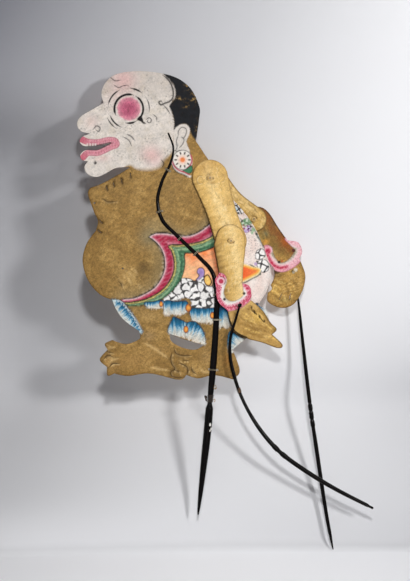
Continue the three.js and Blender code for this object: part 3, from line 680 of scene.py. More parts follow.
EYE = (-101, 593)
EYE_RINGS = [
    (arc(EYE, 21, -55, 62), 3.0), (arc(EYE, 21, 69, 207), 3.3), (arc(EYE, 21, 256, 302), 3.0),
    (arc(EYE, 30, 50, 86), 2.4), (arc(EYE, 30.5, 116, 170), 2.1), (arc(EYE, 29, 198, 247), 2.2),
    (arc(EYE, 34, 203, 236), 1.7), (arc(EYE, 30, -8, 30), 1.5), (arc(EYE, 34.5, 92, 110), 1.4),
]
FACE_LINES = [(smooth(line), width) for line, width in (
    ([(-84, 581), (-81, 574), (-76, 571)], 2.6),
    ([(-76, 577), (-71, 580), (-68, 576.5), (-70.5, 572.5), (-74, 574.5), (-72.5, 577)], 1.1),
    ([(-66, 585), (-61, 581), (-60, 575)], 1.1),
    ([(-104, 556), (-98, 553), (-92, 546.5)], 1.3),
    ([(-109, 552), (-101, 547), (-97, 539)], 1.1),
    ([(-153, 563), (-148, 568), (-143, 565), (-145, 560), (-149, 562)], 1.3),
    ([(-54, 519), (-50, 513), (-53, 507)], 1.2),
    ([(-129, 640), (-121, 634), (-113, 635)], 1.1),
    ([(-123, 628), (-116, 624), (-110, 626)], 1.0),
)]
LIPS = smooth([(-170, 548.5), (-160, 544.5), (-146, 544), (-131, 547), (-121, 546), (-119, 541),
               (-127, 537.5), (-146, 529), (-161, 528.5), (-168, 522)])
MOUTH = smooth([(-163, 538.5), (-146, 540), (-127, 543.5), (-146, 534), (-160, 533)])


# %% Painting the face
def paint_face(sheet):
    """Chalk that blushes at brow and jaw, with grey and brown stains and small dark flecks."""
    places = sheet["places"]
    depth = depth_in(sheet, FACE)
    jaw = np.clip((places[:, 0] + 128) / 60, 0, 1) * np.clip((535 - places[:, 1]) / 20, 0, 1)
    patchy = 0.045 * mottle(places, 22, 40) + 0.03 * mottle(places, 6, 41)
    patchy += 0.03 * mottle(places @ BRUSHED, 5, 42)
    lay(sheet, depth / (SOFT + 7 * jaw) + 0.5, np.clip(CHALK * (1 + patchy)[:, None], 0, 0.86), 0.0)
    on_face = np.clip(depth, 0, 1)
    lay(sheet, np.clip((places[:, 1] - 596) / 30, 0, 1) * on_face * 0.5, "#B8AEA6")
    stained = np.clip(0.6 * mottle(places, 26, 45) + 0.5 * mottle(places, 9, 46), 0, 1)
    lay(sheet, stained * on_face * 0.32, "#C4B6A0")
    stained = np.clip(0.5 * mottle(places, 17, 47) + 0.6 * mottle(places @ BRUSHED, 4, 48) - 0.3, 0, 1)
    lay(sheet, stained * on_face * 0.3, "#A9A6A3")
    flecked = np.clip(mottle(places, 3, 49) + 0.7 * mottle(places, 30, 39) - 1.15, 0, 1)
    lay(sheet, flecked * on_face * 0.75, "#7D756E")
    for place, size, strong in (
        ((-108, 636), 26, 0.5), ((-70, 528), (20, 17), 0.45), ((-62, 519), 18, 0.3),
        ((-140, 521), (18, 8), 0.3), ((-118, 612), 30, 0.16), ((-155, 574), 16, 0.2),
    ):
        glow(sheet, place, size, BLUSH, strong * on_face)
    worn = np.clip(mottle(places, 4, 44) + 0.7, 0, 1) * on_face
    for place, size, strong in (
        ((-133, 634), (12, 8), 0.5), ((-137, 616), (7, 12), 0.35), ((-122, 560), (9, 5), 0.3),
        ((-52, 512), (10, 6), 0.4), ((-86, 535), (30, 12), 0.25),
    ):
        glow(sheet, place, size, "#9C8A74", strong * worn)


def paint_eye(sheet):
    """A speckled rose iris in broken rings, and the ink lines of the face."""
    places = sheet["places"]
    gap = np.hypot(*(places - EYE).T)
    iris = ramp(gap / 18, (0, "#AA4F69"), (0.55, "#BE667E"), (0.85, "#D08A98"), (1, "#DEB0B2"))
    specks = np.clip(mottle(places, 3.2, 50) * 0.7 + mottle(places, 2.2, 52) * 0.6 - 0.4, 0, 1)
    iris = iris * (1 + 0.13 * mottle(places, 8, 53)[:, None]) * (1 - 0.42 * specks[:, None])
    lay(sheet, (17.4 + 0.8 * mottle(places, 9, 51) - gap) / 2.4 + 0.5, np.clip(iris, 0, 1))
    dot(sheet, (EYE[0] - 1, EYE[1] - 1.5), 2.0, "#7A4A54", 0.5, soft=2.5)
    for line, width in EYE_RINGS:
        stroke(sheet, line, width, INK, taper=6)
    for line, width in FACE_LINES:
        stroke(sheet, line, width * 1.2, INK, taper=3, strong=0.9)
    fill(sheet, smooth([(-89, 577.5), (-83.5, 583), (-80, 574), (-86, 575.5)], True, 0.7), INK)


def paint_mouth(sheet):
    """Two lips round an ink line, with four small teeth and a mole on the chin."""
    edge, along = measure(LIPS, sheet["places"])
    lip = ramp(np.clip(edge / 4.6, 0, 1), (0, "#D0828F"), (0.65, "#D59AA2"), (1, "#A94A5F"))
    tip = np.clip(1 - along / 14, 0, 1) + np.clip(along / 14 - (len(LIPS) - 14) / 14, 0, 1)
    lay(sheet, (4.6 - edge) / SOFT + 0.5, lip)
    lay(sheet, ((4.6 - edge) / SOFT + 0.5).clip(0, 1) * tip * 0.7, "#C04A60")
    hatched = np.clip(mottle(sheet["places"] * (1, 0.35), 2.4, 60), 0, 1)
    lay(sheet, ((4.2 - edge) / SOFT + 0.5).clip(0, 1) * 0.4 * hatched, "#8E3A50")
    stroke(sheet, MOUTH, 1.5, INK, taper=3, strong=0.9)
    for x in (-161.5, -157.5, -153.5, -149.8):
        stroke(sheet, np.array([(x, 541.6), (x + 0.1, 539.2)]), 2.2, CHALK, strong=0.9)
    dot(sheet, (-150, 514), 1.9, INK)


# %% Painting hair and ear
def paint_hair(sheet):
    """Soot black, with the gilding showing where it has rubbed."""
    places = sheet["places"]
    depth = depth_in(sheet, HAIR)
    shade = SOOT * (1 + 0.25 * np.clip(mottle(places, 12, 70), -1, 1)[:, None])
    lay(sheet, depth / 1.4 + 0.5, shade)
    on_hair = np.clip(depth / 2, 0, 1)
    patchiness = np.clip(mottle(places, 7, 71) * 0.7 + mottle(places, 2.6, 72) * 0.6 - 0.2, 0, 1)
    for place, size in (((-13, 625), (9, 6)), ((-27, 608), (9, 3.5)), ((-6, 609), (7, 9)), ((-18, 598), 5),
                        ((-2, 566), (3, 12))):
        gap = ((places - place) / size) ** 2
        lay(sheet, np.exp(-2 * gap.sum(axis=1)) * patchiness * on_hair * 1.3, "#9C7D4B", 0.9)
    stroke(sheet, HAIRLINE, 1.9, INK, taper=7)
    stroke(sheet, TEMPLE, 1.5, INK, taper=3, strong=0.9)


def paint_ear(sheet):
    """A white scroll with ink folds, a ten-petalled earring, a leaf and a red band below."""
    fill(sheet, EAR, CHALK * 0.97)
    for line in EAR_LINES:
        stroke(sheet, line, 1.4, INK, taper=3, strong=0.8)
    stroke(sheet, EAR[:12], 1.0, INK, strong=0.6)
    for place, size in (((-31, 541), 3), ((-19, 548), 3), ((-25, 528), 3.5)):
        glow(sheet, place, size, "#8B8F88", 0.5)
    dot(sheet, EARRING, 13.4, "#E6DFD6")
    for i in range(10):
        turn = 2 * math.pi * i / 10
        petal = (EARRING[0] + 9.0 * math.cos(turn), EARRING[1] + 9.0 * math.sin(turn))
        stroke(sheet, np.array([petal, EARRING + (np.array(petal) - EARRING) * 1.22]), 2.2, INK, strong=0.95)
    glow(sheet, EARRING, 8.5, "#EFA070", 0.95)
    dot(sheet, EARRING, 3.4, "#E27C40", 0.9, soft=1.6)
    stroke(sheet, arc(EARRING, 13.6, -70, 40), 2.2, CRIMSON, taper=3, strong=0.9)
    stroke(sheet, arc(EARRING, 14.2, 30, 320), 1.4, INK, taper=3, strong=0.6)
    fill(sheet, EAR_LEAF, "#3E7A58")
    stroke(sheet, EAR_LEAF, 1.2, INK, closed=True, strong=0.8)
    stroke(sheet, EAR_DROP, 3.6, CHALK)
    stroke(sheet, EAR_DROP + (0.6, 1.6), 2.0, CRIMSON, taper=3, strong=0.9)
    stroke(sheet, EAR_DROP - (0.6, 1.6), 1.6, INK, taper=3, strong=0.9)


# %% [markdown]
# ## The cloth
# A sash of crimson, straw and green bands wraps the belly and points up to a tip at the front. Behind it hang
# an orange panel, a white cloth broken into small cells, and a pale stippled seat. Each band is a shape whose
# colour depends on how far in from its edge a place lies, with short brush strokes laid across.

# %% Outlines of the sash
RED_BAND = smooth([
    (-71.5, 406), (-65.5, 410), (-58.5, 411.5), (-48, 411.5), (-33.5, 409.5), (-19, 407.5), (-9, 409),
    (3, 414.5), (13, 422), (23.5, 430.5), (30, 424), (19, 406.8), (10, 402), (0, 398.5), (-11.5, 396.5),
    (-26.5, 395), (-38, 395), (-43.5, 393), (-39.5, 386), (-36, 375), (-35, 363.5), (-37, 352), (-43, 340),
    (-52.5, 329), (-65.5, 320.5), (-80.5, 314.5), (-96.5, 311.5), (-111, 311), (-115.5, 313), (-108, 315.5),
    (-92, 317.5), (-77.5, 323.5), (-64, 332), (-55, 344), (-49.5, 357.5), (-49, 372.5), (-52.5, 385.5),
    (-60, 396.5), (-67, 402),
], True)
GREEN_BAND = smooth([
    (29, 411), (19, 405.6), (10, 401), (0, 397.5), (-11.5, 395), (-26.5, 393.8), (-36.5, 393.5), (-42.5, 392),
    (-38.5, 386), (-34.8, 375), (-34, 363.5), (-36, 352), (-42, 339.5), (-52, 328.5), (-65, 319.5),
    (-80, 313.2), (-96.5, 310), (-106.5, 309.5), (-102, 306), (-87.5, 306.3), (-70, 308.8), (-55.5, 314.5),
    (-43, 322.5), (-33, 332.5), (-25, 344), (-20.7, 356), (-18.8, 369.5), (-19.5, 382), (-11.5, 382.8),
    (-3, 383.5), (9, 386), (19, 390.5), (29, 395.5),
], True)
SASH_LEFT = smooth([(-71.5, 406), (-60, 396.5), (-52.5, 385.5), (-49, 372.5), (-49.5, 357.5), (-55, 344),
                    (-64, 332), (-77.5, 323.5), (-92, 317.5), (-108, 315.5)])
SASH_TOP = smooth([(-71.5, 406), (-65.5, 410), (-58.5, 411.5), (-48, 411.5), (-33.5, 409.5), (-19, 407.5),
                   (-9, 409), (3, 414.5), (13, 422), (23.5, 430.5)])


# %% Painting the sash
def paint_sash(sheet):
    """The crimson band and the green band below it, each shaded by how far in from its edge a place is."""
    places = sheet["places"]
    for ring, radius, tint in ((SASH_LEFT, 16, 0.34), (SASH_TOP, 12, 0.4)):
        gap, _ = measure(ring, places)
        lay(sheet, np.exp(-(gap / radius) ** 2) * tint, "#8A8264", 0.4)
    outer, along = measure(SASH_LEFT, places)
    top, along_top = measure(SASH_TOP, places)
    in_from, run = np.minimum(outer, top), np.where(top < outer, along_top, along)
    depth = depth_in(sheet, RED_BAND)
    far = in_from / np.maximum(in_from + np.maximum(depth, 0), 1e-6)
    band = np.where(in_from < 14, np.clip(in_from / 13.5, 0, 1), far)
    crimson = ramp(band, (0, CHALK), (0.13, "#DCB4B6"), (0.24, "#C7657A"), (0.42, CRIMSON),
                   (0.75, "#A82844"), (0.9, "#C25F73"), (1, "#CE8993"))
    hatched = np.sin(run / 0.95 + 2.4 * mottle(places, 14, 80)) * 0.5 + 0.5
    pale = np.clip(mottle(places @ BRUSHED, 4, 83) - 0.1, 0, 1)[:, None] * 0.28
    crimson = crimson * (1 - 0.3 * hatched * np.clip(mottle(places, 5, 81) + 0.6, 0, 1))[:, None]
    lay(sheet, depth / SOFT + 0.5, crimson + (colour("#D58C9A") - crimson) * pale)
    deep = depth_in(sheet, GREEN_BAND)
    from_red = np.maximum(-depth, 0) + 0.35 * mottle(places, 9, 84)
    leaf = ramp(np.clip(from_red / 13.5, 0, 1), (0, STRAW), (0.2, STRAW), (0.25, "#4E5A3A"),
                (0.31, "#7F9A72"), (0.42, GREEN), (0.56, LEAF), (0.72, "#4A7A5A"), (0.88, DEEP_GREEN),
                (1, "#55805F"))
    patchy = 0.2 * mottle(places, 4, 82) + 0.16 * mottle(places @ BRUSHED, 4, 85)
    lay(sheet, deep / SOFT + 0.5, np.clip(leaf * (1 + patchy)[:, None], 0, 1))
    stroke(sheet, GREEN_BAND, 1.2, INK, closed=True, strong=0.8)
    stroke(sheet, RED_BAND, 1.4, INK, closed=True, strong=0.9)
    stroke(sheet, SASH_LEFT - (1.7, -0.3), 1.3, "#B9AE98", taper=8, strong=0.5)
    stroke(sheet, SASH_LEFT - (0.4, -0.2), 1.7, INK, taper=5, strong=0.85)
    stroke(sheet, SASH_TOP + (0, 0.7), 1.7, INK, taper=5, strong=0.85)


# %% Outlines of the hanging cloths
PANEL = smooth([
    (-18.8, 381.5), (-11.5, 382.3), (-1.5, 383.2), (10, 386), (20.5, 390), (29, 395.5), (41, 369.5),
    (35, 344.5), (23.5, 341.5), (20.5, 334.5), (14, 334.5), (9, 341), (8, 349), (7.5, 357.5), (3, 360),
    (0, 356), (1.5, 349), (-1.5, 344), (-6, 341.5), (-11.5, 344.5), (-17.5, 345.5), (-25, 345.5),
    (-20.5, 360.5),
], True)
PANEL_CURL = smooth([(0.5, 343), (4, 347), (6.5, 352.5), (5.5, 357.5), (2.5, 357.5), (1.8, 354.5),
                     (3.8, 354)])
PANEL_DROP = smooth([(9.5, 347.5), (14, 350.5), (18, 345.5), (19.5, 339.5), (16, 335), (11.5, 336.5),
                     (9, 341.5)], True)
CELLS = smooth([
    (-25, 345), (-11.5, 344.5), (-4.5, 341.5), (1.5, 343), (7.5, 347.5), (9, 340), (14, 333.5), (20.5, 333.5),
    (35, 341.5), (38, 301), (-11.5, 301), (-9, 309.5), (-13, 315.5), (-20.5, 317.5), (-29, 314.5), (-38, 313),
    (-52, 312.5), (-41, 322.5), (-32, 333), (-26.5, 340),
], True)
SEAT_CLOTH = smooth([(14, 421), (32, 439.5), (45.5, 468), (64, 468), (119.5, 410), (126, 328.5), (97, 299),
                     (70, 299), (35, 301), (23.5, 314), (23.5, 369.5)], True)
SPRAY_LEAF = smooth([(61, 424), (66, 431.5), (74.5, 433.5), (82, 428), (75, 424), (67, 421.5)], True)
SPRAY_PETAL = smooth([(65.5, 417), (71.5, 423), (78, 421), (75, 414), (69, 412)], True)
SPRAY_STEM = smooth([(58, 436), (66, 429), (76, 423.5), (82, 417), (87.5, 407.5), (95, 395.5)])
WEDGE = smooth([(58.5, 368), (67, 367), (79, 363.5), (90, 360.5), (92, 357.5), (89, 352), (80.5, 347),
                (68.5, 341), (58.5, 336.5)], True)
WEDGE_LINES = [smooth(line) for line in (
    [(58.5, 336), (68.5, 339.5), (80, 345.5), (89, 350.5), (93, 357)],
    [(74, 366.5), (80, 363.5), (84.5, 361)],
)]
SEAT_BACK = smooth([(83, 413), (88.5, 404), (94, 395), (98, 388)])
SPRAY_BUNCHES = [smooth(points, True) for points in (
    [(85, 374), (84.5, 383), (90, 388.5), (96.5, 387), (98, 379), (93, 374)],
    [(86, 366), (91, 372.5), (99, 372), (103.5, 366), (101.5, 357), (94, 354.5), (89, 358.5)],
    [(53, 447), (55, 455), (62, 457), (67.5, 449), (66, 441), (58, 440)],
)]
CELL_TRIES, BUNCH_TRIES, CELL_GAP = 138, 36, 7.2


# %% Painting the hanging cloths
def cell_lines(places, ring, tries, seed):
    """How close each place is to a line between two cells of a ring, in mm, and a number for its cell."""
    random = np.random.default_rng(seed)
    low, high = ring.min(axis=0), ring.max(axis=0)
    seeds = random.uniform(low, high, (tries, 2))
    kept = seeds[:1]
    for seed_place in seeds[1:]:
        if np.hypot(*(kept - seed_place).T).min() > CELL_GAP:
            kept = np.vstack([kept, seed_place])
    gaps = np.hypot(places[:, None, 0] - kept[:, 0], places[:, None, 1] - kept[:, 1])
    order = np.argsort(gaps, axis=1)[:, :2]
    nearest, second = np.take_along_axis(gaps, order, axis=1).T
    return (second - nearest) / 2, order[:, 0]


def paint_panel(sheet):
    """The orange panel, vermilion at its right, with a violet curl and a yellow drop."""
    places = sheet["places"]
    up = np.clip((places[:, 1] - 340) / 50, 0, 1) + 0.13 * mottle(places, 16, 90)
    warm = ramp(up, (0, PEACH), (0.35, "#F2B586"), (0.75, "#EE9F6F"), (1, ORANGE))
    warm = warm * (1 + 0.1 * mottle(places @ BRUSHED, 6, 89))[:, None]
    fill(sheet, PANEL, np.clip(warm, 0, 1))
    right = np.clip((places[:, 0] - 22) / 9, 0, 1) * np.clip(depth_in(sheet, PANEL), 0, 1)
    lay(sheet, right * 0.85, VERMILION)
    stroke(sheet, PANEL, 1.7, INK, closed=True, strong=0.95)
    stroke(sheet, PANEL_CURL, 7.4, INK, strong=0.85)
    stroke(sheet, PANEL_CURL, 5.0, VIOLET)
    stroke(sheet, PANEL_CURL, 1.2, CHALK, strong=0.7)
    dot(sheet, PANEL_CURL[-1], 2.4, "#8E6FB4", 0.8)
    inner = fill(sheet, PANEL_DROP, "#F0A24E")
    lay(sheet, inner / 2.5, "#EEC66E")
    stroke(sheet, PANEL_DROP, 1.7, INK, closed=True, strong=0.95)


def paint_cells(sheet):
    """The white cloth, broken into small cells by ink lines of uneven weight."""
    close = near_box(CELLS, sheet["places"], 2)
    places = sheet["places"][close]
    bent = places + 0.9 * np.stack([mottle(places, 9, 96), mottle(places, 9, 97)], axis=1)
    line, cell = cell_lines(bent, CELLS, CELL_TRIES, 5)
    tint = np.random.default_rng(6).uniform(0.9, 1.06, 400)[cell]
    white = colour("#F1EEEB") * tint[:, None] * (1 - 0.08 * np.clip(mottle(places, 6, 91), 0, 1))[:, None]
    shaded = np.clip(mottle(places, 5, 98) - 0.9, 0, 1) * np.clip(1.6 - line / 2, 0, 1)
    white = white + (colour("#8A878A") - white) * (shaded * 0.8)[:, None]
    drawn = np.clip((0.95 + 1.0 * mottle(places, 10, 92) - line) / 0.7 + 0.5, 0.2 * (line < 1), 1)
    white = white + (colour("#1E1C1E") - white) * (drawn * 0.95)[:, None]
    whole = np.zeros_like(sheet["colour"])
    whole[close] = white
    lay(sheet, depth_in(sheet, CELLS) / SOFT + 0.5, whole)
    stroke(sheet, CELLS, 0.9, INK, closed=True, strong=0.6)


def paint_seat(sheet):
    """The stippled seat, with a spray of leaves and petals and an orange wedge."""
    places = sheet["places"]
    depth = np.minimum(depth_in(sheet, SEAT_CLOTH), sheet["edge"])
    pale = ramp(np.clip(0.5 + 0.4 * mottle(places, 18, 93), 0, 1), (0, "#E6D2C8"), (1, "#EFE4DC"))
    lay(sheet, depth_in(sheet, SEAT_CLOTH) / SOFT + 0.5, pale)
    on_cloth = np.clip(depth, 0, 1)
    stipple = np.clip(mottle(places, 2.3, 94) * 0.8 + mottle(places, 3.1, 95) * 0.6 - 0.75, 0, 1)
    upper = np.clip((places[:, 1] - 372) / 12, 0, 1)
    lay(sheet, stipple * on_cloth * (0.25 + 0.35 * upper), "#57505A")
    for ring, seed in zip(SPRAY_BUNCHES, (3, 5, 9)):
        close = near_box(ring, places, 2)
        line, _ = cell_lines(places[close], ring, BUNCH_TRIES, seed)
        petals = np.zeros_like(sheet["colour"])
        shade = np.clip((0.9 - line) / 0.7 + 0.5, 0, 1)[:, None]
        petals[close] = colour("#F2EEEA") + (colour("#2A282A") - colour("#F2EEEA")) * shade
        lay(sheet, depth_in(sheet, ring) / SOFT + 0.5, petals)
        stroke(sheet, ring, 1.2, INK, closed=True, strong=0.75)
    leafy = mottle(places, 4.5, 99)
    fill(sheet, SPRAY_LEAF, ramp(0.5 + 0.45 * leafy, (0, GREEN), (0.5, LEAF), (1, "#D5DACB")))
    fill(sheet, SPRAY_PETAL, ramp(0.5 + 0.45 * leafy, (0, "#8E3F6A"), (0.4, VIOLET), (1, "#DCCFE0")))
    for ring in (SPRAY_LEAF, SPRAY_PETAL):
        stroke(sheet, ring, 0.8, INK, closed=True, strong=np.clip(0.4 + 0.5 * leafy, 0, 0.8))
    stroke(sheet, SPRAY_STEM, 1.3, DEEP_GREEN, taper=6, strong=0.8)
    green, black, plum = "#8DB08A", "#1B1A1C", "#9E2F4A"
    for place, size, paint in (
        ((55, 446), 3, "#A9C4CE"), ((59, 441), 1.7, black), ((57.5, 444.5), 1.2, black),
        ((77, 421), 1.7, black), ((77.5, 415), 1.2, black), ((85.5, 410), 1.9, black),
        ((81, 416.5), 3, green), ((79, 412), 2, green), ((66.5, 423), 1.1, plum), ((67, 418), 1.3, plum),
        ((64, 429), 1.6, black), ((70, 420), 1.6, CHALK), ((88, 405.5), 2.2, "#9FA39A"),
        ((84, 366.5), 2.4, "#B59BC0"), ((86, 370), 1.4, black), ((97, 355), 1.4, black),
        ((91, 351.5), 1.2, DEEP_GREEN),
    ):
        dot(sheet, place, size, paint, 0.9)
    stroke(sheet, SEAT_BACK, 1.6, "#3B4A38", taper=3, strong=0.8)
    inner = fill(sheet, WEDGE, "#E9D6A0")
    lay(sheet, (inner - 1.0) / 1.8, "#F2B450")
    lay(sheet, (inner - 3.2) / 2.4, ramp((places[:, 0] - 60) / 30, (0, "#EE5A26"), (1, ORANGE)))
    for line in WEDGE_LINES:
        stroke(sheet, line, 1.7, "#2A3A26", taper=4, strong=0.9)
    lay(sheet, on_cloth * np.exp(-sheet["edge"] / 1.2) * 0.8, INK)


# %% [markdown]
# ## The fringes
# Below the sash hang short blue fringes. The painter starts each stroke heavy and dark at the top and lifts
# the brush, so that it ends in bare white. Here every stroke has a length of its own, from a seeded list.

# %% Fringe shapes, each with the way that its strokes run
FRINGES = [
    ([(-79, 309.5), (-65, 311.8), (-51, 313.5), (-50.5, 303), (-61.5, 301), (-73, 302.5)], (0.05, -1)),
    ([(-48.5, 312.5), (-32, 312), (-15.5, 311), (-15, 298.5), (-26.5, 291), (-38, 291), (-48.5, 292.5)],
     (0, -1)),
    ([(-11, 300.8), (12, 301.8), (36, 301.5), (36, 281.5), (7.5, 280.5), (-6, 282), (-11, 290.5)], (0, -1)),
    ([(-40, 281), (-36, 289.5), (-29, 287), (-19.8, 282.5), (-15, 279), (-15.5, 268), (-17, 257),
      (-30.5, 261), (-43, 265.5), (-43.5, 273)], (0.1, -1)),
    ([(-16.5, 280), (-13, 282), (-4.5, 282.5), (1.5, 277.5), (7.5, 268.5), (10.5, 258.5), (9.5, 248),
      (-1.5, 251), (-17, 257), (-18, 270)], (-0.35, -0.95)),
    ([(30, 302), (42.5, 302.5), (45.5, 290.5), (50, 274.5), (39.5, 272.5), (27.5, 273)], (0.15, -1)),
    ([(46, 268), (61.5, 260), (74, 254), (61.5, 244), (46, 236)], (0.75, -0.75)),
    ([(84.5, 309), (95, 306), (104, 298), (109, 282), (93.5, 288.5), (84.5, 300)], (0.5, -1)),
    ([(-131, 313), (-113, 313.5), (-102, 302), (-93.5, 291), (-86.5, 279.5), (-81, 266), (-95, 266.5),
      (-108, 277), (-119.5, 290), (-131, 306.5)], (-0.75, -0.6)),
]
FRINGES = [(smooth(points, True), np.array(way) / math.hypot(*way)) for points, way in FRINGES]
FRINGE_DOTS = [((-53.8, 308), (2.6, 4.2)), ((-14, 302.5), (4.2, 5.6)), ((21, 291.5), (3.4, 4.8)),
               ((-17.5, 271), (3.4, 5))]


# %% Painting the fringes
STRANDS = 4096


def paint_fringe(sheet, ring, way, seed):
    """Strokes side by side down a ring, each with its own length, dark at the top and bare at the end."""
    along = sheet["places"] @ way
    across = sheet["places"] @ np.array([way[1], -way[0]])
    start, end = (ring @ way).min(), (ring @ way).max()
    strand = across / 1.7 + 0.4 * mottle(sheet["places"], 16, seed)
    random, number = np.random.default_rng(seed), np.floor(strand).astype(int) % STRANDS
    length, reach = random.uniform(-0.13, 0.16, STRANDS)[number], random.uniform(0.4, 1.05, STRANDS)[number]
    down = (along - start) / (end - start)
    share = np.clip(down + length, 0, 1)
    paint = ramp(share, (0, NAVY), (0.14, "#1A5F80"), (0.3, BLUE), (0.46, SKY), (0.6, "#CFD6D2"),
                 (1, "#D8CDBC"))
    groove = np.clip((np.abs((strand % 1) - 0.5) * 2 - 0.5) / 0.3, 0, 1) * (share < reach)
    line = ramp(share, (0, "#0B2436"), (0.45, "#2C5A76"), (0.7, "#77766E"), (1, "#8A7D6C"))
    paint = paint + (line - paint) * (0.85 * groove)[:, None]
    ends = (1.0 + 0.7 * length - down) * 9
    lay(sheet, np.minimum(depth_in(sheet, ring) / SOFT + 0.5, ends), paint, 0.0)
    stroke(sheet, ring, 1.3, "#2A2420", closed=True, strong=0.8 * np.clip((0.8 - down) * 6, 0.3, 1))


def paint_fringes(sheet):
    """All the fringes, a pale rim on the last of them, and the drops between them."""
    for i, (ring, way) in enumerate(FRINGES):
        paint_fringe(sheet, ring, way, 100 + i)
    glow(sheet, (100, 297), (13, 12), "#E4E8E4", 0.8)
    rim = depth_in(sheet, FRINGES[-1][0])
    rim = np.clip(rim, 0, 1) * np.clip(1.5 - rim / 2.6 + 0.5 * mottle(sheet["places"], 3, 110), 0, 1)
    lay(sheet, 0.75 * rim, "#CBD5D4")
    for place, size in FRINGE_DOTS:
        gap = np.hypot(*((sheet["places"] - place) / size).T)
        lay(sheet, (1.25 - gap) * 3, "#3A2A22")
        lay(sheet, (1.0 - gap) * 3.5, ramp(np.clip(gap, 0, 1), (0, "#F0B050"), (1, "#CE642E")))


# %% [markdown]
# ## Marks on the body
# A few chiselled creases give the figure its roundness: a fold on the chest, one on the belly, the instep and
# the knuckles of the toes. They are thin dark lines with a painted highlight along one edge, and pale strokes
# on the feet are painted highlights too. The belly also has one dark patch and paler streaks.

# %% Painting the body
FOOT_LINES = [smooth(line) for line in (
    [(-35, 244), (-32, 236.5), (-25, 233), (-9, 233)],
    [(-38, 238), (-39.5, 229), (-38, 220.5), (-33.5, 213), (-39.5, 209), (-38, 203), (-29, 200),
     (-20.5, 201.5)],
    [(-22, 225), (-13, 226)],
    [(-29, 222), (-20.5, 219), (-14.5, 213), (-16, 204.5)],
    [(-35, 211.5), (-29, 209.5), (-26.5, 204.5)],
    [(-136, 246.5), (-131.5, 238.5), (-124, 236.5)],
    [(-138.5, 227), (-131.5, 233), (-124, 230.5)],
    [(-130, 215.5), (-124, 221), (-114, 220.5)],
    [(-10, 217.5), (-7.5, 210), (-1.5, 205)],
)]
FOOT_LIGHTS = [smooth(line) for line in (
    [(-129.4, 222), (-125, 226.5), (-116, 228.6)], [(-128, 217.5), (-122, 221), (-114.5, 220)],
    [(-78, 251), (-62, 242), (-44, 229)], [(-132, 248), (-126, 245), (-120, 245)], [(-28, 226), (-22, 222)],
    [(-70, 216), (-55, 213), (-42, 211)], [(2, 214), (10, 209), (22, 208)],
)]
STITCH = smooth([(31, 273.5), (38, 274.6), (48, 276)])
CREASES = [smooth(line) for line in ([(-140, 462), (-131, 457), (-120, 458)],
                                     [(-116, 341), (-112, 337), (-110, 331)])]
BELLY_LIGHTS = [smooth(line) for line in (
    [(-112, 352), (-104, 346), (-97, 337)], [(-106, 357), (-97, 351), (-92, 343)], [(-116, 346), (-108, 339)],
    [(-99, 360), (-91, 356), (-86, 349)], [(-90, 338), (-82, 331), (-76, 322)],
)]


def paint_body(sheet):
    """The gilded skin, with its patches, creases and lights, and then all that is painted over it."""
    ground(sheet, GOLD, "#C4A062", DULL_GOLD, 20)
    # Soft patches of leaf. On the feet, some lighter and darker patches are painted highlight and shade that
    # model the embossing, and the dark spot between the feet is painted shade in the gap there.
    glows(
        sheet, 0.8,
        ((-3, 520), (16, 40), "#A8823F", 0.35), ((-105, 350), (22, 26), "#C9A466", 0.3),
        ((-95, 345), (8, 20), "#D2B070", 0.3), ((-80, 360), (14, 15), "#5E4A2A", 0.85),
        ((-62, 360), (12, 40), "#7F6A40", 0.4), ((-60, 428), (34, 14), "#8D8160", 0.3),
        ((-150, 425), (16, 60), DULL_GOLD, 0.3), ((-40, 480), (30, 60), "#8E7448", 0.3),
        ((-110, 470), (45, 30), "#8B6E3F", 0.3), ((-70, 290), (30, 14), "#C9A76C", 0.35),
        ((-95, 225), (40, 18), "#BC945A", 0.35), ((35, 225), (26, 30), "#80602F", 0.5),
        ((-60, 240), (36, 16), "#B8935A", 0.35), ((-130, 222), (14, 18), "#C09A60", 0.4),
        ((-118, 219), (13, 9), "#7E5C30", 0.5), ((-14.5, 211), (4, 9), "#4E3A20", 0.8),
        ((43, 226), (10, 18), "#A8743A", 0.45), ((12, 232), (14, 20), "#A28558", 0.4),
        ((-72, 262), (16, 12), "#A38A64", 0.4), ((-48, 216), (18, 7), "#7C6034", 0.35),
    )
    # Painted highlights: pale strokes along the embossing of the feet, and paler streaks on the belly.
    for line in FOOT_LIGHTS + BELLY_LIGHTS:
        stroke(sheet, line, 2.4, "#D6B67C", taper=5, strong=0.55, soft=1.6)
    # Each crease has a painted highlight along its lower right side, under its dark line.
    for line in FOOT_LINES + CREASES:
        stroke(sheet, line + (1.4, -1.4), 2.0, "#D6B67C", taper=5, strong=0.7, soft=1.2)
        stroke(sheet, line, 1.9, "#3E2A14", taper=5, strong=0.95)
    stroke(sheet, STITCH, 1.5, INK, strong=0.9)
    paint_face(sheet)
    paint_eye(sheet)
    paint_mouth(sheet)
    paint_hair(sheet)
    paint_seat(sheet)
    paint_panel(sheet)
    paint_cells(sheet)
    paint_sash(sheet)
    paint_fringes(sheet)
    paint_ear(sheet)
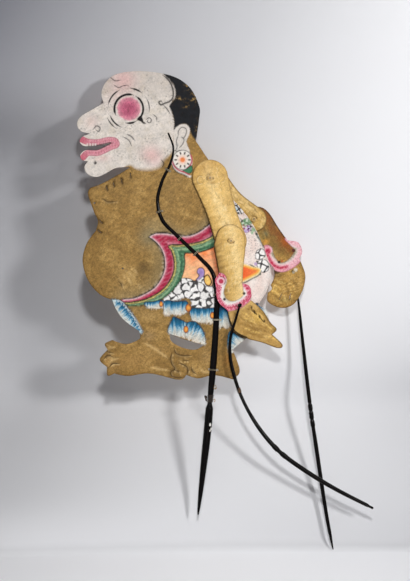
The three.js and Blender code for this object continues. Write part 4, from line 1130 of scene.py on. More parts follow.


# %% [markdown]
# ## The arms
# Each arm is two hides, paler and yellower than the body, with a thin dark outline that keeps them apart from
# it and on the left side is painted shadow. The arms are painted with shade and light as if round. Only the
# rear
# forearm is as dark as the body: its gold is painted in shade. A forearm ends in a padded bracelet, rose
# outside and pale inside, and a hand with chiselled fingers, modelled with painted highlights and shade.

# %% Outlines on the arms
FRONT_BRACELET = smooth([
    (30.5, 353.5), (23, 347.5), (23.5, 337), (26.5, 330), (23.5, 319.5), (28.5, 308), (39.5, 298),
    (49.5, 298.5), (61.5, 302), (71.5, 309), (80.5, 318.5), (80.5, 328.5), (73, 337.5), (65.5, 341),
    (65.5, 330.5), (66.5, 322), (59, 315), (49, 312), (41, 316), (37.5, 325), (39, 332), (41.5, 340),
    (39.5, 350),
], True)
FRONT_BRACELET_OUTSIDE = smooth([(37, 352), (30.5, 353.5), (23.5, 347), (25.5, 332), (23.5, 319.5),
                                 (28.5, 308), (39.5, 298), (49.5, 298.5), (61.5, 302), (71.5, 309),
                                 (80.5, 318.5), (80.5, 328.5), (73, 337.5)])
REAR_BRACELET = smooth([
    (100.5, 394.5), (93.5, 389.5), (93.5, 378), (99.5, 370), (106.5, 362), (115.5, 356), (125.5, 355),
    (136, 359), (147.5, 367.5), (156, 381), (154.5, 395), (143, 403), (127, 404), (134.5, 395), (141, 387),
    (136.5, 377.5), (128, 370), (120.5, 368.5), (114, 374.5), (110, 383), (108, 390.5),
], True)
REAR_BRACELET_OUTSIDE = smooth([(101, 394), (93.5, 389), (93.5, 378), (99.5, 370), (106.5, 362), (115.5, 356),
                                (125.5, 355), (136, 359), (147.5, 367.5), (156, 381), (154.5, 395),
                                (143, 403), (130, 404)])
FRONT_CORE = smooth([(31, 334), (29.5, 322), (32, 312), (39.5, 304.5), (50, 303.5), (60, 306.5), (68, 312.5),
                     (74.5, 321)])
REAR_CORE = smooth([(102, 386), (102.5, 379), (107, 370), (113, 363.5), (121, 361), (130, 362.5)])
ARM_CURLS = [smooth(line) for line in (
    [(7.5, 495), (1.5, 495), (-2, 490), (0.5, 484), (6.5, 484.5)],
    [(33.5, 499.5), (38.5, 495), (38, 488.5), (33, 486)],
)]
FRONT_HAND_SHADES = [smooth(line) for line in (
    [(58, 293), (66, 287), (74, 282), (84, 277)], [(62, 280), (76, 275), (90, 271), (104, 266)],
    [(70, 267), (84, 263), (98, 259)], [(88, 301), (95, 293), (102, 284), (108, 277)],
    [(52, 297), (57, 288), (58, 277)], [(104, 272), (111, 270), (114, 274)],
)]
FRONT_HAND_LIGHTS = [smooth(line) for line in (
    [(76, 301), (80, 295), (84, 290)], [(84.5, 296), (87.5, 290.5), (90, 285)],
    [(91, 289.5), (94, 285), (96.5, 280)], [(64, 297), (71, 292.5), (77, 288)],
    [(98, 279), (104, 274), (109, 270)], [(96, 262), (108, 259), (120, 252)],
    [(66, 273), (78, 269), (90, 266)], [(64, 290), (74, 285), (84, 280.5)],
)]
KNUCKLES = [smooth(line) for line in (
    [(80.5, 300), (82.6, 297), (82, 293.5)], [(88.3, 293), (90, 290), (88.8, 287)],
    [(95.5, 286), (97, 283.5), (95.6, 281)], [(77, 305.5), (78.2, 303), (77.4, 301)],
)]
FRONT_HAND_BACK = smooth([(41, 303), (44, 290), (49, 277), (53, 269), (61, 263.5), (71, 259.5)])
REAR_HAND_SHADES = [smooth(line) for line in (
    [(104, 334.5), (113, 331), (121, 325), (127, 316)], [(116, 343), (127, 336), (134, 324)],
    [(106, 342), (114, 338), (124, 333)], [(104, 325.5), (112, 321), (118, 315)],
    [(130, 346), (140, 341), (147, 330)],
)]
REAR_HAND_LIGHTS = [smooth(line) for line in (
    [(106, 338), (114, 334.5), (122, 330)], [(105, 329.5), (113, 326), (120, 319)],
    [(111, 344), (119, 341), (128, 338)], [(110, 317), (117, 313), (123, 309)],
    [(133, 340), (139, 334), (142, 326)], [(108, 333), (112, 331), (117, 328)],
    [(122, 324), (128, 315), (131, 308)], [(136, 330), (137, 322), (136, 314)],
)]


# %% Painting the arms
def paint_bracelet(sheet, ring, outside, core, tones, dabbed, dots, seed):
    """A padded ring. Its tones, (mm, colour), run inwards from the outer edge, under red and white dabs."""
    places = sheet["places"]
    gap, _ = measure(outside, places)
    far = gap + 0.7 * mottle(places, 3.2, seed)
    fill(sheet, ring, ramp(far, *tones))
    padded = np.clip((far - 0.8) / 1.2, 0, 1) * np.clip((10 - far) / 2, 0, 1)
    padded *= np.clip(depth_in(sheet, ring), 0, 1)
    spread = mottle(places, 3.6, seed + 1) + 0.5 * mottle(places, 2.2, seed + 2)
    lay(sheet, np.clip(spread - 0.15, 0, 1) * padded * dabbed, "#B3203F")
    lay(sheet, np.clip(-0.45 - spread, 0, 1) * padded * dabbed, "#F2C6CC")
    for line, width, strong in core:
        stroke(sheet, line, width + 3, "#DE7F93", strong=0.7 * strong, soft=2.4)
        stroke(sheet, line, width, "#B01D40", strong=np.clip(0.85 + 0.3 * spread, 0, 1) * strong, soft=1.2)
    stroke(sheet, ring, 1.0, "#6E3A40", closed=True, strong=0.5)
    for place, size, paint in dots:
        dot(sheet, place, size, paint, 0.95)


def outline_with_shadow(sheet, left, wide):
    """The dark line round a limb: an outline, heavy on the left with painted shadow where the limb stands off
    the body, and faint on the right.
    """
    gap, _ = measure(smooth(left), sheet["places"])
    # Heavier on the left: painted shadow of the limb on the body.
    strong = np.interp(gap / wide, (0.1, 0.6), (0.9, 0.4))
    lay(sheet, np.clip(2.0 - sheet["edge"], 0, 1) * strong, "#33210F", 0.2)


def round_off(sheet, left, wide, seed):
    """Shades a limb as if it were round: dark along its left edge, lightest two thirds of the way across."""
    gap, _ = measure(smooth(left), sheet["places"])
    across = gap / wide + 0.07 * mottle(sheet["places"] @ BRUSHED, 7, seed)
    shades = ramp(np.clip(across, 0, 1), (0, "#7D5C28"), (0.14, "#A17D40"), (0.36, "#C5A05A"),
                  (0.68, "#E6CB92"), (1, "#D3AF6C"))
    strong = np.interp(across, (0, 0.15, 0.4, 0.7, 1), (0.85, 0.75, 0.45, 0.7, 0.5))
    lay(sheet, strong, shades, 0.9)


def hatch(sheet, start, end, wide, count, seed, paint, strong=0.5, long=(4, 11), turned=0.0):
    """Short fine strokes scattered along a limb, each nearly in the limb's own direction."""
    random = np.random.default_rng(seed)
    start, end = np.array(start, float), np.array(end, float)
    ahead = (end - start) / np.linalg.norm(end - start)
    across = np.array([-ahead[1], ahead[0]])
    least, most = (0, -0.5, long[0], -0.25), (1, 0.5, long[1], 0.25)
    for share, off, length, tilt in random.uniform(least, most, (count, 4)):
        angle = tilt + turned
        way = ahead * math.cos(angle) + across * math.sin(angle)
        middle = start + (end - start) * share + across * off * wide
        line = middle + way * np.linspace(-length / 2, length / 2, 6)[:, None]
        stroke(sheet, line, 0.9, paint, taper=3, strong=strong)


def paint_upper_arm(sheet, left, wide, seed, curls=()):
    """Pale leaf shaded as if round, curls with a painted highlight edge, and an outline with painted shadow.
    """
    ground(sheet, "#D2AE6A", "#E6CB92", "#9A7438", seed, sizes=(38, 12, 4.5))
    round_off(sheet, left, wide, seed + 5)
    for line in curls:
        # Each chiselled curl has a painted highlight along its lower right edge.
        stroke(sheet, line + (0.8, -0.8), 1.3, "#EBD6A2", taper=4, strong=0.6)
        stroke(sheet, line, 1.6, "#7E5E2C", taper=4, strong=0.6)
    outline_with_shadow(sheet, left, wide)


def pin_marks(sheet, place, tilt=0.0):
    """Two dark marks where the gilding has broken beside a pin."""
    for start, end in ((150, 232), (-38, 28)):
        stroke(sheet, arc(place, 4.6, start + tilt, end + tilt), 1.7, "#3E2B14", taper=2, strong=0.85)
    stroke(sheet, arc(place, 5.4, 100 + tilt, 140 + tilt), 1.2, "#EBD6A2", taper=2, strong=0.6)


def paint_front_upper(sheet):
    """The front upper arm, darker at the shoulder."""
    paint_upper_arm(sheet, [(-14, 500), (-6, 470), (9, 432), (22, 392), (26, 375)], 40, 120, ARM_CURLS)
    glows(sheet, 1.0, ((8, 510), (34, 26), "#A98142", 0.6), ((38, 500), (14, 26), "#B8924E", 0.5),
          ((20, 485), (9, 4), "#8C6A34", 0.6), ((16, 497), (5, 4), "#6A4C22", 0.7))
    hatch(sheet, (14, 515), (48, 405), 34, 44, 121, "#8C6A34", 0.5)
    hatch(sheet, (20, 505), (50, 410), 26, 26, 122, "#F0DCAC", 0.5)
    pin_marks(sheet, (17.5, 492))


def paint_rear_upper(sheet):
    """The rear upper arm, duller than the front one."""
    left = [(10, 472), (30, 460), (52, 440), (66, 425), (76, 412)]
    paint_upper_arm(sheet, left, 34, 130)
    lay(sheet, 0.45 + 0.2 * mottle(sheet["places"], 8, 131), "#A5823F", 0.9)
    glow(sheet, (88, 432), (13, 12), "#C39A4E", 0.6, 0.9)
    glow(sheet, (70, 436), (8, 9), "#7F6230", 0.55, 0.9)
    hatch(sheet, (26, 480), (96, 420), 26, 50, 132, "#6C5026", 0.65)
    hatch(sheet, (26, 480), (96, 420), 26, 40, 133, "#E2C88C", 0.65)
    hatch(sheet, (70, 440), (98, 420), 26, 30, 134, "#6C5026", 0.55, (3, 8), 1.4)
    glow(sheet, (82, 436), (6, 5), "#6A4C22", 0.6, 0.9)
    pin_marks(sheet, (81.9, 432), 40)
    outline_with_shadow(sheet, left, 34)


def paint_front_fore(sheet):
    """The front forearm, its hand and its bracelet."""
    left = [(22, 408), (27, 380), (33, 350), (37, 322)]
    ground(sheet, "#D2AE6A", "#E6CB92", "#987236", 140, sizes=(38, 12, 4.5))
    round_off(sheet, left, 40, 145)
    hatch(sheet, (48, 412), (52, 328), 32, 34, 141, "#8C6A34", 0.45)
    hatch(sheet, (50, 412), (54, 328), 26, 28, 142, "#F0DCAC", 0.5)
    pin_marks(sheet, (48, 399.9), -20)
    places = sheet["places"]
    hand = np.clip((312 - places[:, 1]) / 14, 0, 1)
    lay(sheet, hand * np.clip(0.8 + 0.14 * mottle(places, 9, 144), 0, 1), "#A47F42", 1.0)
    patchiness = np.clip(0.45 + 0.5 * mottle(places, 4.5, 149), 0, 1)
    # Painted light on the hand: highlights on the knuckles and by the thumb, and painted shade in a band
    # below the knuckles and between them. The other patches are tone.
    glows(sheet, 1.0, ((88, 288), (13, 11), "#E0B85E", 0.7), ((100, 262), (14, 6), "#C9A260", 0.5),
          ((50, 285), (7, 16), "#B8945E", 0.7), ((80, 270), (18, 5), "#7C5A2A", 0.6),
          ((76, 302), (6, 8), "#7A5A2A", 0.7), ((66, 288), (8, 8), "#C29A58", 0.5),
          ((112, 258), (12, 5), "#B08A48", 0.5), ((56, 304), (8, 8), "#8A6832", 0.5),
          ((112, 273), (4, 6), "#7E7038", 0.6))
    hatch(sheet, (62, 292), (108, 262), 30, 50, 147, "#6E5024", 0.55, (3, 9))
    # Painted shade between the knuckles and painted highlights on them, unevenly strong.
    for line in FRONT_HAND_SHADES:
        stroke(sheet, line, 2.8, "#74541F", taper=5, strong=0.35 + 0.4 * patchiness, soft=3.2)
    for line in FRONT_HAND_LIGHTS:
        stroke(sheet, line, 2.6, "#EFCA72", taper=4, strong=0.85 * patchiness, soft=2.4)
    hatch(sheet, (70, 296), (108, 266), 24, 30, 148, "#E8C888", 0.5, (3, 8))
    for line in KNUCKLES:
        stroke(sheet, line, 1.9, "#2E1E0C", taper=1.5, strong=0.95)
    # The edge of the hand is darkened as painted shade.
    lay(sheet, np.clip(1.8 - sheet["edge"], 0, 1) * hand * 0.45, "#5A4220", 0.2)
    outline_with_shadow(sheet, left, 40)
    stroke(sheet, FRONT_HAND_BACK, 2.4, "#0E0B09", strong=0.98)
    core = [(FRONT_CORE, 1.2, 0.6), (arc((74.5, 324), 1.4, 0, 300), 3, 0.9)]
    tones = [(0, "#E0A0AE"), (1.2, "#D8718A"), (2.6, "#CC4E6B"), (6.0, "#D25C77"), (8.2, "#E7A9B5"),
             (9.6, "#F0DADA"), (11, "#EBE5DE"), (13.5, "#CFCBBB")]
    dots = [((38.5, 315), 2.0, INK), ((67, 323.5), 2.0, INK), ((33.6, 341.6), 6.4, "#E9B9C2"),
            ((33.6, 341.2), 3.4, "#B5274A")]
    paint_bracelet(sheet, FRONT_BRACELET, FRONT_BRACELET_OUTSIDE, core, tones, 1.0, dots, 146)
    stroke(sheet, arc((33.6, 341.6), 6.2, -60, 110), 1.3, "#4A2A2C", taper=3, strong=0.8)


def paint_rear_fore(sheet):
    """The rear forearm: a brown sleeve and a dark hand, their gold painted as in shade, and a pale bracelet.
    """
    places = sheet["places"]
    ground(sheet, "#A07B3E", "#C09A56", "#664A22", 150, sizes=(38, 12, 4.5))
    # Painted light on the hand: a highlight over the fingers, painted shadow below the bracelet, and painted
    # shade along its left edge. The other patches are tone.
    glows(sheet, 0.9, ((134, 352), (14, 12), "#B8924E", 0.5), ((114, 331), (14, 12), "#D2A858", 0.8),
          ((113, 355), (15, 10), "#33271A", 0.95), ((150, 340), (7, 18), "#B28E50", 0.5),
          ((100, 338), (6, 18), "#7A705E", 0.9), ((128, 314), (16, 6), "#8C7A48", 0.6),
          ((146, 322), (8, 12), "#7C6432", 0.5))
    hatch(sheet, (104, 342), (150, 330), 40, 56, 157, "#5E441C", 0.6, (3, 9), 0.5)
    hatch(sheet, (104, 338), (148, 334), 36, 50, 158, "#D9B676", 0.55, (3, 8), 0.4)
    # The sleeve is painted as gold in shade, browner towards its right.
    sleeve = np.clip((places[:, 1] - 372) / 12, 0, 1)
    right = np.clip(((places[:, 0] - 88) * 0.75 + (places[:, 1] - 425) * 0.6) / 24 + 0.5, 0, 1)
    brown = ramp(right + 0.1 * mottle(places, 10, 154), (0, "#9A8048"), (0.35, "#826834"),
                 (0.7, "#7A582C"), (1, "#7C4A22"))
    lay(sheet, sleeve * 0.9, brown, 0.7)
    # Of these patches, the olive and dark green ones are painted reflections in the gold; the rest are tone.
    glows(sheet, 0.5, ((128, 400), (9, 13), "#A04E18", 0.75), ((99, 411), (7, 6), "#6E7052", 0.7),
          ((99, 399), (8, 6), "#D0933C", 0.8), ((96, 404), (3, 3), "#3E4A2C", 0.6),
          ((117, 374), (9, 6), "#A07038", 0.5), ((110, 425), (6, 9), "#5E4A2C", 0.6))
    hatch(sheet, (100, 430), (132, 372), 34, 40, 155, "#4E3A1A", 0.5, (4, 12))
    hatch(sheet, (100, 430), (132, 372), 30, 30, 156, "#B08C4C", 0.45, (4, 12))
    patchiness = np.clip(0.45 + 0.5 * mottle(places, 4.5, 159), 0, 1)
    # Painted shade between the fingers and painted highlights along them, unevenly strong.
    for line in REAR_HAND_SHADES:
        stroke(sheet, line, 2.6, "#5E441E", taper=5, strong=0.2 + 0.4 * patchiness, soft=3.2)
    for line in REAR_HAND_LIGHTS:
        stroke(sheet, line, 2.4, "#EBC878", taper=4, strong=0.85 * patchiness, soft=2.4)
    dot(sheet, (138.5, 355.8), 1.7, INK, 0.9)
    dot(sheet, (143, 358), 2.6, "#D8D2C2", 0.85, soft=1.6)
    lay(sheet, np.clip(2.0 - sheet["edge"], 0, 1) * (0.25 + 0.5 * sleeve), "#2B1B0E", 0.2)
    core = [(REAR_CORE, 3.4, 1.0), (arc((102.5, 385.5), 1.8, 0, 300), 4.0, 1.0)]
    tones = [(0, "#CF8592"), (1.4, "#E0A0AC"), (3, "#E8B0B9"), (8.5, "#E6BABF"), (11, "#E2C6C4"),
             (12.6, "#B9AE9A"), (14.5, "#8E8A6E")]
    dots = [((118.5, 369.5), 2.0, "#1C1512"), ((140, 386.5), 2.6, "#4A1E1C"), ((123, 371), 1.5, "#B0522C")]
    paint_bracelet(sheet, REAR_BRACELET, REAR_BRACELET_OUTSIDE, core, tones, 0.45, dots, 166)


# %% [markdown]
# ## The finish of painted hide
# Colour alone looks like paper. Rawhide keeps its pores under the paint, leaf is a little bright and rubs off
# in scratches, and chalk paint crazes. One group adds all that to any colour it is given, and gives back a
# colour, how rough and how metallic it is, and a height for the bumps.


# %% Hide group
def hide_group():
    """The finish of painted hide, as a group."""
    tree, given, out = new_group(
        "painted_hide_finish",
        [("Paint", "Color", (0.5, 0.5, 0.5, 1)), ("Gilt", "Float", 0.0), ("Grain", "Float", 1.0),
         ("Scratches", "Float", 0.5)],
        [("Colour", "Color"), ("Roughness", "Float"), ("Metallic", "Float"), ("Height", "Float")],
    )
    spot = add(tree, "ShaderNodeTexCoord").outputs["Object"]
    gilt = given["Gilt"]

    def noise(scale, detail=3.0, at=spot):
        inputs = {"Vector": at, "Scale": scale, "Detail": detail}
        return add(tree, "ShaderNodeTexNoise", inputs).outputs["Fac"]

    def drawn_out(lean, times):
        """Places squeezed along a leaning line, so that a pattern made from them runs that way."""
        squeezed = {"Vector": spot, "Rotation": (0, lean, 0), "Scale": (1, 1, times)}
        return add(tree, "ShaderNodeMapping", squeezed, vector_type="TEXTURE").outputs[0]

    pores, grit, cloud, specks = noise(1500.0, 2.0), noise(430.0, 4.0), noise(190.0, 5.0), noise(620.0, 4.0)
    hairs = noise(900.0, 2.0, drawn_out(0.6, 16.0))
    scratch = maths(tree, "MULTIPLY_ADD", hairs, 9.0, -5.4, clamp=True)
    cracks = add(tree, "ShaderNodeTexVoronoi", {"Vector": spot, "Scale": 330.0}, feature="DISTANCE_TO_EDGE")
    crazed = maths(tree, "MULTIPLY_ADD", cracks.outputs["Distance"], -16.0, 1.0, clamp=True)
    crazed = maths(tree, "MULTIPLY", crazed, maths(tree, "SUBTRACT", 1.0, gilt))
    crazed = maths(tree, "MULTIPLY", crazed, maths(tree, "MULTIPLY_ADD", cloud, 5.0, -2.4, clamp=True))
    fibres = noise(560.0, 3.0, drawn_out(0.9, 3.2))
    light = 1.0
    patterns = ((cloud, 0.1, 0.2), (grit, 0.8, 0.5), (pores, 0.7, 0.5), (fibres, 0.55, 0.1))
    for pattern, more, always in patterns:
        amount = maths(tree, "MULTIPLY", maths(tree, "MULTIPLY_ADD", gilt, more, always), given["Grain"])
        light = maths(tree, "MULTIPLY_ADD", maths(tree, "SUBTRACT", pattern, 0.5), amount, light)
    spotted = maths(tree, "MULTIPLY", maths(tree, "MULTIPLY_ADD", specks, 7.0, -4.3, clamp=True), gilt)
    toned = add(tree, "ShaderNodeVectorMath", {0: given["Paint"], "Scale": light},
                operation="SCALE").outputs[0]
    dark = mix(tree, 0.55, toned, (*UMBER, 1))
    toned = mix(tree, maths(tree, "MULTIPLY", spotted, 0.55), toned, dark)
    toned = mix(tree, maths(tree, "MULTIPLY", crazed, 0.3), toned, dark)
    worn = maths(tree, "MULTIPLY", scratch, given["Scratches"])
    toned = mix(tree, maths(tree, "MULTIPLY", worn, 0.45), toned, dark)
    links = tree.links
    links.new(toned, out["Colour"])
    rough = maths(tree, "MULTIPLY_ADD", gilt, -0.14, 0.62)
    rough = maths(tree, "MULTIPLY_ADD", maths(tree, "SUBTRACT", cloud, 0.5), 0.35, rough)
    links.new(maths(tree, "ADD", rough, maths(tree, "MULTIPLY", worn, 0.15), clamp=True), out["Roughness"])
    links.new(maths(tree, "MULTIPLY", gilt, maths(tree, "MULTIPLY_ADD", cloud, 0.25, 0.02)), out["Metallic"])
    bumps = maths(tree, "MULTIPLY", pores, given["Grain"])
    bumps = maths(tree, "MULTIPLY_ADD", cloud, 1.6, bumps)
    bumps = maths(tree, "MULTIPLY_ADD", worn, -0.6, bumps)
    links.new(maths(tree, "MULTIPLY_ADD", crazed, -0.5, bumps), out["Height"])
    return tree


HIDE_FINISH = hide_group()


def hide_material(name, grain, scratches):
    """Painted hide, which reads its paint and its gilding from the mesh."""
    material, tree, shader = new_material(name)
    paint = add(tree, "ShaderNodeAttribute", attribute_name="paint").outputs["Color"]
    gilt = add(tree, "ShaderNodeAttribute", attribute_name="gilt").outputs["Fac"]
    given = {"Paint": paint, "Gilt": gilt, "Grain": grain, "Scratches": scratches}
    finish_shader(tree, shader, place_group(tree, HIDE_FINISH, given), 0.35, 0.00022)
    shader.inputs["Specular IOR Level"].default_value = 0.12
    return material


BODY_HIDE = hide_material("painted_body_hide", 1.0, 0.6)
ARM_HIDE = hide_material("gilded_arm_hide", 0.55, 0.9)
DARK_HIDE = hide_material("dark_arm_hide", 1.1, 0.8)

# %% [markdown]
# ## Making the hides
# Every hide goes through the same steps: read the outline, fill it, give it thickness, paint it and hang it
# on its body. The upper arms bow outwards over the main rod, as the stiff hide of the real one does, so their
# two faces follow a smooth rise between two circles about the shoulder pin.

# %% Hide pieces
SHOULDER = (17.5, 492.0)
CLEAR, BODY_HALF, ARM_THICK = 0.3, 1.0, 1.8
ARM_SEAT, ARM_RAISED = 1.3, 5.7
BOW_START, BOW_END = 32, 56
FORE_SEAT = ARM_RAISED + ARM_THICK + CLEAR


def rise(spots):
    """How far from the body hide's middle the inner face of an upper arm lies."""
    share = np.clip((np.hypot(*(spots - SHOULDER).T) - BOW_START) / (BOW_END - BOW_START), 0, 1)
    return ARM_SEAT + (ARM_RAISED - ARM_SEAT) * share * share * (3 - 2 * share)


def gild(mesh, share):
    """Writes how much of each point of a mesh is gilded."""
    mesh.attributes.new("gilt", "FLOAT", "POINT").data.foreach_set("value", share)


def paint_sheet(mesh, number, sheet):
    """Keeps a sheet's colours and gilding on the mesh, with the cut edge a little darker as painted shade."""
    shade = np.ones(len(number))
    # The cut edge is darkened as painted shade.
    shade[len(mesh.vertices) - sheet["rim_count"]:] = 0.72
    paint = np.ones((len(number), 4))
    paint[:, :3] = np.clip(sheet["colour"][number], 0, 1) * shade[:, None]
    mesh.attributes.new("paint", "FLOAT_COLOR", "POINT").data.foreach_set("color", paint.ravel())
    gild(mesh, np.clip(sheet["gilt"][number], 0, 1))


def show(name, mesh, material, body, nodes):
    """Puts a mesh into the scene as a piece of the puppet, in place of its solids."""
    made = bpy.data.objects.new(name, mesh)
    bpy.context.scene.collection.objects.link(made)
    mesh.materials.append(material)
    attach(made, body)
    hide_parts(*nodes)
    return made


def close_up(ring):
    """A ring, and whether it is a chiselled slit. Such a slit draws together as the hide dries."""
    middle = ring.mean(axis=0)
    ways = np.linalg.svd(ring - middle, full_matrices=False)[2]
    flat = (ring - middle) @ ways.T
    long, short = np.ptp(flat, axis=0)
    if short > 3 or long < max(5, 2.2 * short):
        return ring, False
    return middle + (flat * (0.8, 0.15)) @ ways, True


def hide_piece(name, node, body, material, painter, side, levels, lines=(), slit_shade="#2A1D10"):
    """A painted hide in place of a node. Its side is 0 for the body, -1 in front of it and 1 behind it."""
    rings = [soften(ring, 48, 1.0 if len(ring) > 24 else 0.8) for ring in rims(node)]
    rings, slit = zip(*(close_up(ring) for ring in rings))
    spots, faces = triangles(rings, fill_points(rings, levels, lines))
    if side == 0:
        near, far = -BODY_HALF, BODY_HALF
    else:
        inner = rise(spots) if "upper" in node else np.full(len(spots), FORE_SEAT)
        near, far = sorted((side * inner, side * (inner + ARM_THICK)), key=lambda y: y[0])
    mesh, number, rim = hide_mesh(name, spots, faces, near, far)
    edge = gap_to(tree_of(rings[0]), spots)
    sheet = {"places": spots, "edge": edge, "colour": np.zeros((len(spots), 3)), "gilt": np.zeros(len(spots)),
             "rim_count": 2 * len(np.unique(rim))}
    painter(sheet)
    # Slits are inked dark round their edges as painted shade, for the darkness seen through them.
    for ring in (ring for ring, thin in zip(rings, slit) if thin):
        lay(sheet, 0.7 + depth_in(sheet, ring) / 0.8, slit_shade)
    paint_sheet(mesh, number, sheet)
    print(name, "has", len(mesh.polygons), "faces,", len(rings) - 1, "holes, of which", sum(slit), "slits")
    return show(name, mesh, material, body, [node])


# %% The body hide
EYE_PATCH = arc(EYE, 37, 0, 355)
MOUTH_PATCH = np.array([(-178, 560), (-178, 512), (-112, 530), (-110, 552)])
EARRING_PATCH = arc(EARRING, 17, 0, 355)
FINE = [RED_BAND, GREEN_BAND, PANEL, CELLS, MOUTH_PATCH, EAR, EARRING_PATCH] + SPRAY_BUNCHES
HEAD_PATCH = np.array([(-180, 492), (-60, 498), (10, 492), (10, 655), (-180, 655)])
STROKED = [EYE_PATCH] + [ring for ring, _ in FRINGES]
body_levels = [(0.8, STROKED), (0.98, FINE), (1.35, [SEAT_CLOTH]), (1.7, [HEAD_PATCH]), (3.4, None)]
body_lines = (FOOT_LINES + FOOT_LIGHTS + CREASES + [HAIRLINE, TEMPLE, EAR_DROP] + EAR_LINES
              + [line for line, _ in FACE_LINES + EYE_RINGS])
hide_piece("body_sheet", "body_hide", "figure", BODY_HIDE, paint_body, 0,
           body_levels, body_lines)

# %% The arm hides
hide_piece("front_upper_sheet", "front_upper_arm", "front_upper", ARM_HIDE,
           paint_front_upper, -1, [(1.5, None)], ARM_CURLS)
hide_piece("rear_upper_sheet", "rear_upper_arm", "rear_upper", ARM_HIDE, paint_rear_upper, 1,
           [(1.3, None)])
hide_piece("front_fore_sheet", "front_forearm", "front_fore", ARM_HIDE, paint_front_fore, -1,
           [(0.8, [FRONT_BRACELET]), (1.3, None)], KNUCKLES)
hide_piece("rear_fore_sheet", "rear_forearm", "rear_fore", DARK_HIDE, paint_rear_fore, 1,
           [(0.8, [REAR_BRACELET]), (1.3, None)], slit_shade="#6E5024")

# %% [markdown]
# ## Horn
# The rods are buffalo horn, split, bent over heat and scraped smooth. Horn is near black with brown streaks
# along the grain, and takes a hard polish. The grain must follow each bend, so every rod's mesh carries how
# far along and how far aside each of its points is, and the material reads that in place of plain space.


# %% Horn material
def horn_group():
    """Horn with brown streaks along its grain, as a group."""
    tree, given, out = new_group(
        "horn_grain", [("Along and round", "Vector", (0, 0, 0)), ("Streaks", "Float", 0.5)],
        [("Colour", "Color"), ("Roughness", "Float"), ("Height", "Float")],
    )
    spot = given["Along and round"]
    long = add(tree, "ShaderNodeMapping", {"Vector": spot, "Scale": (0.035, 2.6, 1)}).outputs[0]
    fine = add(tree, "ShaderNodeMapping", {"Vector": spot, "Scale": (0.12, 9.0, 1)}).outputs[0]
    broad = add(tree, "ShaderNodeTexNoise", {"Vector": long, "Scale": 1.0, "Detail": 4.0}).outputs["Fac"]
    scrape = add(tree, "ShaderNodeTexNoise", {"Vector": fine, "Scale": 1.0, "Detail": 3.0}).outputs["Fac"]
    dust = add(tree, "ShaderNodeTexNoise", {"Vector": spot, "Scale": 0.9, "Detail": 5.0})
    brown = maths(tree, "MULTIPLY_ADD", broad, 3.4, -1.75, clamp=True)
    base = mix(tree, maths(tree, "MULTIPLY", brown, given["Streaks"]), (*colour("#050405"), 1),
               (*colour("#2C1D12"), 1))
    dusty = maths(tree, "MULTIPLY_ADD", dust.outputs["Fac"], 5.0, -3.1, clamp=True)
    tree.links.new(mix(tree, maths(tree, "MULTIPLY", dusty, 0.03), base, (*colour("#7D766C"), 1)),
                   out["Colour"])
    rough = maths(tree, "MULTIPLY_ADD", scrape, 0.22, 0.06)
    tree.links.new(maths(tree, "MULTIPLY_ADD", dusty, 0.3, rough, clamp=True), out["Roughness"])
    tree.links.new(maths(tree, "MULTIPLY_ADD", broad, 1.6, scrape), out["Height"])
    return tree


HORN_GRAIN = horn_group()


def horn_material(name, streaks, chips=()):
    """Black horn. A chip, (along, across, half its length, half its width) in mm, is worn white in front."""
    material, tree, shader = new_material(name)
    grain = add(tree, "ShaderNodeAttribute", attribute_name="grain").outputs["Vector"]
    horn = place_group(tree, HORN_GRAIN, {"Along and round": grain, "Streaks": streaks})
    finish_shader(tree, shader, horn, 0.3, 0.00015)
    tone = horn["Colour"]
    for along, across, long, wide in chips:
        off = grain
        for operation, by in (("SUBTRACT", (along, across, -6)), ("MULTIPLY", (1 / long, 1 / wide, 0.12))):
            off = add(tree, "ShaderNodeVectorMath", {0: off, 1: by}, operation=operation).outputs[0]
        far = add(tree, "ShaderNodeVectorMath", {0: off}, operation="LENGTH").outputs["Value"]
        tone = mix(tree, maths(tree, "MULTIPLY_ADD", far, -3.5, 3.9, clamp=True), tone,
                   (*colour("#DAD6CF"), 1))
    tree.links.new(tone, shader.inputs["Base Color"])
    shader.inputs["Specular IOR Level"].default_value = 0.07
    return material


HORN = horn_material("black_horn", 0.6)
CHIPS = [(133, 3, 2.8, 1.5), (127, 5, 2.6, 1.2), (124.5, 3.6, 1.6, 0.9)]
CHIPPED_HORN = horn_material("chipped_horn", 0.5, CHIPS)


# %% Making a rod
def skin(rings, closed=False):
    """Points and faces over a row of rings. Unless the row is closed, its two ends are."""
    count, sides = len(rings), len(rings[0])
    faces = []
    for i in range(count if closed else count - 1):
        a, b = i * sides, (i + 1) % count * sides
        faces += [(a + j, a + (j + 1) % sides, b + (j + 1) % sides, b + j) for j in range(sides)]
    if not closed:
        faces += [tuple(range(sides))[::-1], tuple(range((count - 1) * sides, count * sides))]
    return np.vstack(rings), faces


def mesh_of(name, points, faces):
    """A smooth mesh from places in mm."""
    mesh = bpy.data.meshes.new(name)
    mesh.from_pydata(np.asarray(points) * MM, [], faces)
    mesh.shade_smooth()
    return mesh


def frames(line):
    """The directions along a flat line and across it, at each of its places."""
    ahead = np.gradient(line, axis=0)
    ahead /= np.linalg.norm(ahead, axis=1, keepdims=True)
    return ahead, np.stack([ahead[:, 2], np.zeros(len(line)), -ahead[:, 0]], axis=1)


def rod_line(points, y, step=1.2):
    """The middle line of a rod that lies flat at y, and how far along it each of its places is."""
    line = curve_through([(x, y, z) for x, z in points], step)
    return line, np.concatenate([[0], np.cumsum(np.linalg.norm(np.diff(line, axis=0), axis=1))])


